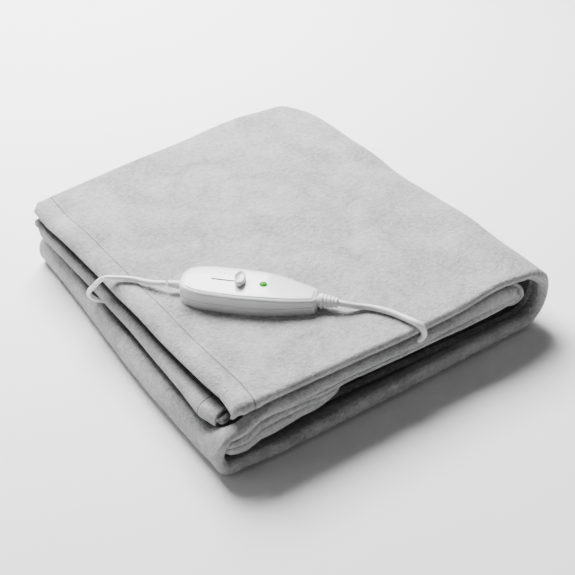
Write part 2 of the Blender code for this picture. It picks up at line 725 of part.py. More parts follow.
def add_coupling_pins(shells):
    """Three pins that cross from the plug to the socket, and the socket's three contact sleeves."""
    for number, y in enumerate((-0.008, 0.0, 0.008), start=1):
        cylinder(
            f"coupling_pin_{number}", 0.0011, (-0.0140, y, 0), (0.0120, y, 0), BRASS, JOINT, 12,
        )
        sleeve = cylinder(
            f"coupling_contact_{number}", 0.0022, (-0.0180, y, 0), (-0.0040, y, 0), BRASS, JOINT, 12,
        )
        cut_cylinder(
            sleeve, f"contact_bore_{number}_cutter", 0.0015, (-0.0160, y, 0), (0.0, y, 0), JOINT, 12,
        )
        for shell in shells:
            cut_cylinder(
                shell, f"pin_way_{number}_{shell.name}_cutter", 0.0015,
                (-0.0030, y, 0), (0.0040, y, 0), JOINT, 12,
            )


def add_coupling_latch(plug_low, plug_high):
    """A press button in the plug's outer side, with its return spring behind it."""
    press = frame_empty("latch_axis", (0, 0, 0), 0)
    press.parent = JOINT
    press.location = (0.018, COUPLING_W / 2, 0)
    press.rotation_euler = (0, 0, math.pi)
    window = (0.0126, 0.006, 0.0066)
    for shell in (plug_low, plug_high):
        cut_box(shell, f"latch_window_{shell.name}_cutter", window, (0, 0, 0), press)
    button = box(
        "coupling_latch", (0.0120, 0.0042, 0.0060), (0, 0.0005, 0), LATCH_PLASTIC, press, bevel=0.0004,
    )
    rib = as_cutter(box("latch_rib", (0.0150, 0.0012, 0.0070), (0, 0.0026, 0), BARE, press))
    boolean(button, rib, "UNION")
    turns, radius, wire = 4, 0.0021, 0.00025
    free_from, free_to = 0.0034 + LATCH_TRAVEL + 0.0003, 0.0100
    count = turns * 10
    points = []
    for step in range(count + 1):
        angle = 2 * math.pi * step / 10
        y = free_from + wire + (free_to - free_from - 2 * wire) * step / count
        points.append((radius * math.cos(angle), y, radius * math.sin(angle)))
    spring = cord_tube("latch_spring", points, wire, STEEL)
    spring.parent = press
    box("latch_spring_seat", (0.0070, 0.0014, 0.0060), (0, 0.0110, 0), GREY_ABS, press)


def add_coupling_relief(plug_low, plug_high):
    relief = relief_profile(0.0050, 0.0038, 0.0145, 0.0037, 0.0022, 0.0050, 4)
    turned(
        "coupling_strain_relief", relief, WHITE_PVC, JOINT, rotation=(0, math.pi / 2, 0),
        location=(COUPLING_PLUG_L, 0, 0), steps=20,
    )
    for shell in (plug_low, plug_high):
        cut_cylinder(
            shell, f"relief_way_{shell.name}_cutter", 0.0040, (COUPLING_PLUG_L - 0.006, 0, 0),
            (COUPLING_PLUG_L + 0.004, 0, 0), JOINT,
        )


# ---------------------------------------------------------------- mains cord and plug

def add_cords():
    cord_tube("mains_cord", tube_points(MAINS_ROUTE, 2 * MAINS_R), MAINS_R, WHITE_PVC)
    cord_tube("mains_cord_tail", tube_points(TAIL_ROUTE, 2 * MAINS_R), MAINS_R, WHITE_PVC)
    cord_tube("blanket_lead", tube_points(LEAD_ROUTE, 2 * LEAD_R), LEAD_R, WHITE_PVC)
    add_coil()


def add_coil():
    inner, outer = COIL_R - COIL_BAND_W / 2, COIL_R + COIL_BAND_W / 2
    low, high = COIL_Z
    soft = 0.002
    profile = (
        (inner, high - soft), (inner + soft, high), (outer - soft, high), (outer, high - soft),
        (outer, low + soft), (outer - soft, low), (inner + soft, low), (inner, low + soft),
        (inner, high - soft),
    )
    turned("mains_cord_coil", profile, WHITE_PVC, location=(*COIL_CENTRE, 0), steps=40)
    place = frame_empty("tie_place", (0, 0, 0), TIE_ANGLE)
    place.location = (
        COIL_CENTRE[0] + COIL_R * math.cos(TIE_ANGLE),
        COIL_CENTRE[1] + COIL_R * math.sin(TIE_ANGLE), (low + high) / 2,
    )
    loop_w, loop_h = COIL_BAND_W + 0.0024, high - low + 2 * GAP
    tie = box(
        "cord_tie", (loop_w + 2 * TIE_T, TIE_W, loop_h + 2 * TIE_T), (0, 0, 0), TIE_CLOTH, place,
        bevel=0.0004,
    )
    cut_box(tie, "tie_loop_cutter", (loop_w, 2 * TIE_W, loop_h), (0, 0, 0), place)


def add_mains_plug():
    length = PLUG_SIZE[0]
    body = box("plug_body", PLUG_SIZE, (0, 0, 0), WHITE_PVC, PLUG)
    for vertex in body.data.vertices:
        if vertex.co.x > 0:
            vertex.co.y *= 0.62
    round_edges(body, 0.0032, 3)
    for number, side in enumerate((-1, 1), start=1):
        y = side * PIN_SPACING / 2
        start = -length / 2 - GAP
        sleeve = cylinder(
            f"plug_pin_{number}", PIN_R, (start, y, 0), (start - PIN_L, y, 0), BRASS, PLUG, 16,
        )
        round_edges(sleeve, 0.0006)
    boot_start = length / 2 + GAP
    profile = [
        (0, BOOT_L), (0.0042, BOOT_L), (0.0045, 0.013), (0.0052, 0.0115), (0.0052, 0.009),
        (0.0048, 0.0085), (0.0056, 0.006), (0.0056, 0.004), (0.0062, 0.0), (0, 0.0),
    ]
    turned(
        "plug_strain_relief", profile, WHITE_PVC, PLUG, rotation=(0, math.pi / 2, 0),
        location=(boot_start, 0, 0), steps=20,
    )


clear_scene()
PARTS = new_collection("heated_blanket")
CUTTERS = new_collection("cutters")

FLEECE = make_material("grey fleece", (0.53, 0.53, 0.54), 0.95)
FLEECE_BINDING = make_material("woven binding", (0.36, 0.36, 0.37), 0.9)
WIRE_JACKET = make_material("wire jacket", (0.75, 0.73, 0.68), 0.5)
SENSOR = make_material("moulded phenolic", (0.14, 0.11, 0.09), 0.5)
WHITE_ABS = make_material("white case plastic", (0.84, 0.84, 0.84), 0.35)
WHITE_PVC = make_material("white cord jacket", (0.82, 0.82, 0.82), 0.45)
GREY_ABS = make_material("grey coupling plastic", (0.60, 0.60, 0.61), 0.5)
BLACK_NYLON = make_material("black switch plastic", (0.02, 0.02, 0.02), 0.5)
BOARD = make_material("circuit board", (0.05, 0.20, 0.09), 0.5)
GREEN_LENS = make_material("green lens", (0.03, 0.55, 0.07), 0.2)
GREEN_BLOCK = make_material("terminal plastic", (0.06, 0.24, 0.13), 0.5)
AMBER = make_material("capacitor case", (0.62, 0.35, 0.08), 0.4)
LATCH_PLASTIC = make_material("latch button", (0.80, 0.80, 0.80), 0.4)
ALUMINIUM = make_material("aluminium", (0.77, 0.78, 0.79), 0.35, 1.0)
STEEL = make_material("steel", (0.60, 0.60, 0.60), 0.3, 1.0)
BRASS = make_material("nickel-plated brass", (0.78, 0.76, 0.70), 0.25, 1.0)
TIE_CLOTH = make_material("hook-and-loop strap", (0.55, 0.55, 0.55), 0.9)
BARE = make_material("cutter", (0.5, 0.5, 0.5), 0.5)

CASE = frame_empty("controller_frame", CONTROLLER_CENTRE, CONTROLLER_ANGLE)
JOINT = frame_empty("coupling_frame", COUPLING_CENTRE, math.pi / 2)
PLUG = frame_empty("plug_frame", PLUG_CENTRE, 0)

add_blanket()
add_controller()
add_coupling()
add_cords()
add_mains_plug()
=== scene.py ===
import math

import bmesh
import bpy
import numpy as np
from mathutils import Matrix, Vector


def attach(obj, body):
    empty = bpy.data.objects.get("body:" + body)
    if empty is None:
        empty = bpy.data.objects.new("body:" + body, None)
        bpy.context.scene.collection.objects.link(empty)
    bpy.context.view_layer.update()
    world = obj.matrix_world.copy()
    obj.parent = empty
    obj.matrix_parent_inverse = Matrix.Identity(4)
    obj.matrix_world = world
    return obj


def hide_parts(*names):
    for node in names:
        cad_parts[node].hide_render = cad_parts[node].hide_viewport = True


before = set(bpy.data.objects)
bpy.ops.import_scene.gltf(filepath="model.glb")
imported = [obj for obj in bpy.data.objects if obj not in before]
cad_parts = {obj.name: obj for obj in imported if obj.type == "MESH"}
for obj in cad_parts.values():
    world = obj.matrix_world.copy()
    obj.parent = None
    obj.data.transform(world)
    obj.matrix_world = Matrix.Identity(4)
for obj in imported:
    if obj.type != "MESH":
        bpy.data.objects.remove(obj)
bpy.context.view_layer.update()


# ---- Camera, floor and light
# The folded blanket lies on a plain pale floor and is seen from its near left corner, about 0.75 m
# up. The strongest of three wide soft lights stands above and behind it.

camera_data = bpy.data.cameras.new("camera")
camera_data.lens = 66.65
camera_data.sensor_width = 36.0
camera = bpy.data.objects.new("camera", camera_data)
bpy.context.scene.collection.objects.link(camera)
camera.location = (-0.5624, -0.8312, 0.7456)
camera_heading = Vector((-0.0265, -0.061, 0.050)) - camera.location
camera.rotation_euler = camera_heading.to_track_quat("-Z", "Y").to_euler()
bpy.context.scene.camera = camera


def new_piece(name, shape, material, smooth_degrees=40):
    """A mesh object at the origin, from a finished bmesh in the model's own coordinates."""
    mesh = bpy.data.meshes.new(name)
    shape.to_mesh(mesh)
    shape.free()
    mesh.shade_smooth()
    if smooth_degrees:
        mesh.set_sharp_from_angle(angle=math.radians(smooth_degrees))
    piece = bpy.data.objects.new(name, mesh)
    bpy.context.scene.collection.objects.link(piece)
    mesh.materials.append(material)
    return piece


def new_material(name, roughness=0.5, **constants):
    """A material with its shader, and the shader's constants set on its own sockets."""
    material = bpy.data.materials.new(name)
    material.use_nodes = True
    shader = material.node_tree.nodes["Principled BSDF"]
    shader.inputs["Roughness"].default_value = roughness
    for socket, value in constants.items():
        shader.inputs[socket.replace("_", " ").title().replace("Ior", "IOR")].default_value = value
    return material


def feed(tree, target, inputs):
    """Gives each named input of a node a value, or links it to another node's output."""
    for name, value in inputs.items():
        if isinstance(value, bpy.types.NodeSocket):
            tree.links.new(value, target.inputs[name])
        else:
            target.inputs[name].default_value = value


def node(tree, kind, inputs, **settings):
    made = tree.nodes.new(kind)
    made.location.x = 220 * len(tree.nodes)
    for key, value in settings.items():
        setattr(made, key, value)
    feed(tree, made, inputs)
    return made


def noise(tree, scale, detail=2.0, distortion=0.0, roughness=0.5):
    """Noise in the model's own coordinates."""
    places = node(tree, "ShaderNodeTexCoord", {})
    made = node(tree, "ShaderNodeTexNoise", {
        "Vector": places.outputs["Object"], "Scale": scale, "Detail": detail,
        "Distortion": distortion, "Roughness": roughness,
    })
    return made.outputs["Fac"]


def mixed(tree, share, first, second, **settings):
    """From the first colour to the second as the share goes from 0 to 1."""
    made = node(tree, "ShaderNodeMix", {}, data_type="RGBA", **settings)
    feed(tree, made, {"Factor": share, "A": first, "B": second})
    return made.outputs["Result"]


def soft_light(name, place, aim, size, power):
    data = bpy.data.lights.new(name, "AREA")
    data.shape = "RECTANGLE"
    data.size, data.size_y = size
    data.energy = power
    light = bpy.data.objects.new(name, data)
    light.location = place
    light.rotation_euler = (Vector(aim) - Vector(place)).to_track_quat("-Z", "Y").to_euler()
    bpy.context.scene.collection.objects.link(light)


soft_light("overhead", (0.20, 1.10, 1.45), (0, 0, 0), (1.4, 0.9), 150)
soft_light("left_key", (-1.6, 0.7, 0.9), (0, 0, 0.03), (1.0, 0.8), 4)
soft_light("back_light", (0.5, 1.6, 0.9), (0, 0, 0.08), (1.2, 0.7), 16)

world = bpy.data.worlds.new("studio")
world.use_nodes = True
world.node_tree.nodes["Background"].inputs["Color"].default_value = (1.0, 1.0, 1.0, 1.0)
world.node_tree.nodes["Background"].inputs["Strength"].default_value = 0.13
bpy.context.scene.world = world

floor_material = new_material("pale_floor", roughness=0.8)
tree = floor_material.node_tree
feed(tree, tree.nodes["Principled BSDF"], {
    "Base Color": mixed(tree, noise(tree, 4.0), (0.93, 0.93, 0.93, 1), (0.96, 0.96, 0.96, 1)),
})
shape = bmesh.new()
bmesh.ops.create_grid(shape, x_segments=2, y_segments=2, size=4.0)
floor = new_piece("floor", shape, floor_material)


# ---- Mains cord
# Two-core round cord in a soft white PVC jacket. It leaves the ringed strain relief, drops over the
# front edge into the folds, comes out at the back, and the rest of it is wound into a coil.

def remap(tree, value, low, high, start=0.0, end=1.0, **settings):
    """Turns start into low and end into high, and what lies between in proportion."""
    made = node(tree, "ShaderNodeMapRange", {
        "Value": value, "From Min": start, "From Max": end, "To Min": low, "To Max": high,
    }, **settings)
    return made.outputs["Result"]


def reckon(tree, operation, first, second=0.0):
    """The result of one sum on one or two values."""
    return node(tree, "ShaderNodeMath", {0: first, 1: second}, operation=operation).outputs["Value"]


def surface_group(name, inputs):
    """A node group, still empty, that makes a surface's colour, roughness and normal."""
    group = bpy.data.node_groups.new(name, "ShaderNodeTree")
    results = {"Colour": "Color", "Roughness": "Float", "Normal": "Vector"}
    for side, sockets in (("INPUT", inputs), ("OUTPUT", results)):
        for socket, kind in sockets.items():
            group.interface.new_socket(socket, in_out=side, socket_type="NodeSocket" + kind)
    return group, node(group, "NodeGroupInput", {}).outputs


def surface_result(group, colour, roughness, height, distance, strength):
    """Closes a surface group, with the relief of this height, distance and strength."""
    relief = node(group, "ShaderNodeBump", {
        "Height": height, "Distance": distance, "Strength": strength,
    })
    node(group, "NodeGroupOutput", {
        "Colour": colour, "Roughness": roughness, "Normal": relief.outputs["Normal"],
    })


def shaded(tree, colour, amount):
    made = node(tree, "ShaderNodeVectorMath", {0: colour, "Scale": amount}, operation="SCALE")
    return made.outputs["Vector"]


def moulded_surface():
    """Fine grain and faint unevenness of a moulded plastic or rubber surface."""
    group, given = surface_group("moulded_surface", {
        "Colour": "Color", "Grain Scale": "Float", "Roughness": "Float", "Relief": "Float",
    })
    grain = noise(group, given["Grain Scale"], detail=4.0)
    clouds = remap(group, noise(group, 45.0, detail=3.0), 0.95, 1.03)
    dull = reckon(group, "MULTIPLY", remap(group, grain, 0.85, 1.2), given["Roughness"])
    surface_result(group, shaded(group, given["Colour"], clouds), dull, grain, 0.0002, given["Relief"])
    return group


MOULDED = moulded_surface()


def surfaced(name, group, inputs, roughness, **constants):
    """A material whose colour, roughness and normal come from a surface group."""
    material = new_material(name, roughness, **constants)
    tree = material.node_tree
    surface = node(tree, "ShaderNodeGroup", {}, node_tree=group)
    feed(tree, surface, inputs)
    feed(tree, tree.nodes["Principled BSDF"], {
        "Base Color": surface.outputs["Colour"], "Roughness": surface.outputs["Roughness"],
        "Normal": surface.outputs["Normal"],
    })
    return material


def plastic(name, colour, roughness, grain=900.0, relief=0.15, **constants):
    """A moulded plastic with a noise of this scale as its grain."""
    inputs = {"Colour": (*colour, 1), "Grain Scale": grain, "Roughness": roughness, "Relief": relief}
    return surfaced(name, MOULDED, inputs, roughness, **constants)


cord_white = plastic("cord_white", (0.86, 0.86, 0.87), 0.42, grain=1400.0, relief=0.10)
MAINS_D = 0.0065
MAINS_EXIT = (-0.0281, -0.1532, 0.0875)
MAINS_ROUTE = (
    MAINS_EXIT, (-0.0220, -0.1590, 0.0865), (-0.0148, -0.1632, 0.0840),
    (-0.0070, -0.1672, 0.0821), (0.0000, -0.1735, 0.0816), (0.0058, -0.1815, 0.0816),
    (0.0108, -0.1905, 0.0816), (0.0148, -0.2005, 0.0817), (0.0175, -0.2100, 0.0822),
    (0.0197, -0.2175, 0.0824), (0.0215, -0.2215, 0.0813), (0.0235, -0.2244, 0.0784),
    (0.0252, -0.2256, 0.0745), (0.0264, -0.2258, 0.0708), (0.0262, -0.2254, 0.0672),
    (0.0244, -0.2244, 0.0639), (0.0212, -0.2230, 0.0619), (0.0165, -0.2205, 0.0610),
    (0.0115, -0.2165, 0.0599), (0.0075, -0.2108, 0.0576), (0.0050, -0.2030, 0.0542),
    (0.0042, -0.1920, 0.0502), (0.0052, -0.1780, 0.0480),
    (0.0095, -0.1500, 0.0478), (0.0180, -0.1000, 0.0478), (0.0300, -0.0450, 0.0478),
    (0.0450, 0.0100, 0.0478), (0.0640, 0.0650, 0.0478), (0.0870, 0.1200, 0.0478),
    (0.1080, 0.1680, 0.0478), (0.1240, 0.2060, 0.0478), (0.1310, 0.2260, 0.0466),
    (0.1335, 0.2400, 0.0420), (0.1305, 0.2510, 0.0330), (0.1210, 0.2570, 0.0235),
    (0.1070, 0.2570, 0.0145), (0.0910, 0.2520, 0.0075), (0.0740, 0.2455, 0.0046),
    (0.0580, 0.2405, 0.0036),
)
COIL_CENTRE = (0.022, 0.272)
COIL_TURNS = 5
TAIL_ROUTE = (
    (-0.0140, 0.2405, 0.0098), (-0.0260, 0.2415, 0.0088), (-0.0380, 0.2445, 0.0076),
    (-0.0495, 0.2484, 0.0071), (-0.0585, 0.2490, 0.0071),
)
TIE_ANGLE = 35


def eased(value, low, high):
    share = np.clip((value - low) / (high - low), 0, 1)
    return share * share * (3 - 2 * share)


def coil_points():
    """Three turns on the floor, inwards, then two on top of them, outwards."""
    points = []
    for turned in range(10, 360 * COIL_TURNS - 5, 12):
        radius = 0.0416 + 0.0066 * (
            eased(turned, 1290, 1350) + eased(turned, 1650, 1710)
            - eased(turned, 320, 360) - eased(turned, 680, 720)
        )
        at_tie = (turned + 90 + TIE_ANGLE + 180) % 360 - 180
        height = 0.0034 + 0.0065 * eased(turned, 1000, 1040)
        height += 0.0011 * math.exp(-((at_tie / 22) ** 2))
        angle = math.radians(-90 - turned)
        x = COIL_CENTRE[0] + radius * math.cos(angle)
        points.append((x, COIL_CENTRE[1] + radius * math.sin(angle), height))
    return points


def smooth_line(route, step):
    """Points this far apart on a Catmull-Rom curve through the route's points."""
    pts = np.array(route, float)
    pts = np.vstack([2 * pts[0] - pts[1], pts, 2 * pts[-1] - pts[-2]])
    knots = np.concatenate([[0], np.cumsum(np.sqrt(np.linalg.norm(np.diff(pts, axis=0), axis=1)))])
    fine = []
    for i in range(1, len(pts) - 2):
        t0, t1, t2, t3 = knots[i - 1:i + 3]
        p0, p1, p2, p3 = pts[i - 1:i + 3]
        for t in np.linspace(t1, t2, 20, endpoint=False):
            a1 = (t1 - t) / (t1 - t0) * p0 + (t - t0) / (t1 - t0) * p1
            a2 = (t2 - t) / (t2 - t1) * p1 + (t - t1) / (t2 - t1) * p2
            a3 = (t3 - t) / (t3 - t2) * p2 + (t - t2) / (t3 - t2) * p3
            b1 = (t2 - t) / (t2 - t0) * a1 + (t - t0) / (t2 - t0) * a2
            b2 = (t3 - t) / (t3 - t1) * a2 + (t - t1) / (t3 - t1) * a3
            fine.append((t2 - t) / (t2 - t1) * b1 + (t - t1) / (t2 - t1) * b2)
    fine.append(pts[-2])
    fine = np.array(fine)
    along = np.concatenate([[0], np.cumsum(np.linalg.norm(np.diff(fine, axis=0), axis=1))])
    marks = np.linspace(0, along[-1], int(along[-1] / step) + 1)
    return np.stack([np.interp(marks, along, fine[:, axis]) for axis in range(3)], axis=1)


def cord_piece(name, line, diameter, material):
    """A round cord as a curve of one open spline."""
    curve = bpy.data.curves.new(name, "CURVE")
    curve.dimensions = "3D"
    curve.bevel_depth = diameter / 2
    curve.bevel_resolution = 4
    curve.use_fill_caps = True
    spline = curve.splines.new("POLY")
    spline.points.add(len(line) - 1)
    for point, place in zip(spline.points, line):
        point.co = (*place, 1)
    spline.use_smooth = True
    piece = bpy.data.objects.new(name, curve)
    bpy.context.scene.collection.objects.link(piece)
    curve.materials.append(material)
    return piece


mains_line = smooth_line([*MAINS_ROUTE[:-1], *coil_points(), *TAIL_ROUTE[1:]], 0.0030)
mains = cord_piece("mains_cord_full", mains_line, MAINS_D, cord_white)
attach(mains, "pack")
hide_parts("mains_cord", "mains_cord_coil", "mains_cord_tail")


# ---- Lead
# The thinner low-level lead, in the same white PVC, runs from the controller's other end over the
# hem, in between the folds, and round one loose loop to the coupling.

LEAD_D = 0.0055
LEAD_EXIT = (-0.1549, -0.0242, 0.0875)
LEAD_ROUTE = (
    LEAD_EXIT, (-0.1605, -0.0165, 0.0855), (-0.1650, -0.0075, 0.0828),
    (-0.1700, 0.0020, 0.0812), (-0.1765, 0.0110, 0.0811), (-0.1850, 0.0185, 0.0811),
    (-0.1925, 0.0240, 0.0812), (-0.1965, 0.0275, 0.0812), (-0.1992, 0.0305, 0.0800),
    (-0.2022, 0.0350, 0.0762), (-0.2052, 0.0402, 0.0698), (-0.2078, 0.0456, 0.0620),
    (-0.2091, 0.0512, 0.0560), (-0.2093, 0.0551, 0.0499), (-0.2087, 0.0567, 0.0456),
    (-0.2071, 0.0564, 0.0424), (-0.2050, 0.0548, 0.0400), (-0.2020, 0.0520, 0.0388),
    (-0.1950, 0.0450, 0.0385), (-0.1870, 0.0370, 0.0387), (-0.1780, 0.0292, 0.0389),
    (-0.1655, 0.0215, 0.0390), (-0.1480, 0.0205, 0.0390), (-0.1310, 0.0275, 0.0390),
    (-0.1170, 0.0430, 0.0395), (-0.1065, 0.0650, 0.0410), (-0.0960, 0.0880, 0.0430),
    (-0.0825, 0.1050, 0.0452), (-0.0665, 0.1070, 0.0470), (-0.0560, 0.0950, 0.0476),
    (-0.0535, 0.0745, 0.0477), (-0.0590, 0.0505, 0.0474), (-0.0700, 0.0285, 0.0462),
    (-0.0860, 0.0105, 0.0440), (-0.1045, 0.0000, 0.0410), (-0.1240, -0.0030, 0.0392),
    (-0.1400, -0.0040, 0.0390), (-0.1520, -0.0085, 0.0390), (-0.1574, -0.0155, 0.0390),
    (-0.1580, -0.0222, 0.0390),
)
lead_line = smooth_line(LEAD_ROUTE, 0.0025)
lead = cord_piece("lead_full", lead_line, LEAD_D, cord_white)
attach(lead, "pack")
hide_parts("blanket_lead")


# ---- Blanket
# Two plies of short-pile fleece with the heating wire between them, hemmed all round with one line
# of stitching. It is folded in three across, then in four along, and its open hems face left.

FLEECE_T = 0.0037
PLY_STEP = 0.0040  # from one thickness of cloth to the next in the pack
PACK_DEPTH = 0.43
HEM_BAND = 0.028
HEM_LINES = (  # distances from the cut edge
    0.0, 0.0005, 0.0013, 0.0026, 0.0046, 0.0080, 0.0120, 0.0160, 0.0200, 0.0240, 0.0270, HEM_BAND,
    0.0310, 0.0350,
)
BLANKET_FLAT = (1.30, 1.80)

# Places along the folded length: 0-1 top layer, 1-2 outer fold, 2-3 bottom layer, 3-4 left fold,
# 4-5 third layer, 5-6 inner fold, 6-7 second layer
TOP_X, BOTTOM_X = (-0.196, 0.1785), (0.1785, -0.2025)
THIRD_X, SECOND_X = (-0.2025, 0.162), (0.162, -0.204)
TOP_Z, BOTTOM_Z = 0.072, 0.006
OUTER_FOLD_R, LEFT_FOLD_R, INNER_FOLD_R = 0.033, 0.009, 0.01025


def place_of(layer_x, first, x):
    return first + (x - layer_x[0]) / (layer_x[1] - layer_x[0])


def on_top(x):
    return place_of(TOP_X, 0, x)


def on_bottom(x):
    return place_of(BOTTOM_X, 2, x)


def on_third(x):
    return place_of(THIRD_X, 4, x)


def on_second(x):
    return place_of(SECOND_X, 6, x)


def third_height(x):
    return 0.024 + 0.0135 * eased(x, -0.115, -0.055)


def second_height(x):
    return 0.058 - 0.004 * (1 - eased(x, -0.150, -0.100))


def bend_point(middle_x, middle_z, radius, degrees, outward=1):
    """A place on a round fold, and the outward normal there."""
    x, z = math.cos(math.radians(degrees)), math.sin(math.radians(degrees))
    return middle_x + radius * x, middle_z + radius * z, outward * x, outward * z


def fold_line():
    """Places, and the middle line of the pack with its outward normal there, hem to hem."""
    hem = np.array(HEM_LINES)
    top_span, second_span = TOP_X[1] - TOP_X[0], SECOND_X[0] - SECOND_X[1]
    top = np.concatenate([hem / top_span, np.linspace(hem[-1] / top_span, 1, 54)[1:]])
    second = 7 - np.concatenate([
        hem / second_span, np.linspace(hem[-1] / second_span, 1, 44)[1:],
    ])[::-1]
    places = np.concatenate([
        top, np.linspace(1, 2, 19)[1:], np.linspace(2, 3, 36)[1:], np.linspace(3, 4, 13)[1:],
        np.linspace(4, 5, 46)[1:], np.linspace(5, 6, 11)[1:], second[1:],
    ])
    rows = []
    for place in places:
        part = place % 1
        if place <= 1:
            row = (TOP_X[0] + place * top_span, TOP_Z, 0, 1)
        elif place < 2:
            row = bend_point(TOP_X[1], TOP_Z - OUTER_FOLD_R, OUTER_FOLD_R, 90 - 180 * part)
        elif place <= 3:
            row = (np.interp(place, (2, 3), BOTTOM_X), BOTTOM_Z, 0, -1)
        elif place < 4:
            row = bend_point(BOTTOM_X[1], BOTTOM_Z + LEFT_FOLD_R, LEFT_FOLD_R, -90 - 180 * part)
        elif place <= 5:
            x = np.interp(place, (4, 5), THIRD_X)
            row = (x, third_height(x), 0, 1)
        elif place < 6:
            middle_z = third_height(THIRD_X[1]) + INNER_FOLD_R
            row = bend_point(THIRD_X[1], middle_z, INNER_FOLD_R, -90 + 180 * part, outward=-1)
        else:
            x = np.interp(place, (6, 7), SECOND_X)
            row = (x, second_height(x), 0, -1)
        rows.append(row)
    return places, np.array(rows)


def along(places, *knots):
    """A quantity that changes along the folded length, from (place, value) knots."""
    return np.interp(places, [k[0] for k in knots], [k[1] for k in knots])


def cross_lines():
    """Lines across the blanket: (part of the cross fold, share of it)."""
    hem = np.array(HEM_LINES) / PACK_DEPTH
    middle = np.concatenate([hem[:9:2], np.linspace(0.06, 0.90, 14), np.linspace(0.93, 1, 6)])
    lines = [("middle", share) for share in middle]
    lines += [("front fold", share) for share in np.linspace(0, 1, 17)[1:]]
    outer = np.concatenate([
        np.linspace(0, 0.08, 8)[1:], np.linspace(0.08, 0.94, 52)[1:], np.linspace(0.94, 1, 5)[1:],
    ])
    lines += [("outer", share) for share in outer]
    lines += [("back fold", share) for share in np.linspace(0, 1, 9)[1:]]
    inner = np.concatenate([np.linspace(0, 0.85, 20)[1:], np.linspace(0.85, 1, 9)[1:]])
    lines += [("inner", share) for share in inner]
    hem_shares = (0.15, 0.3, 0.4, 0.46, 0.5, 0.54, 0.6, 0.72, 0.84, 0.93, 0.975, 1)
    lines += [("front hem", share) for share in hem_shares]
    return lines


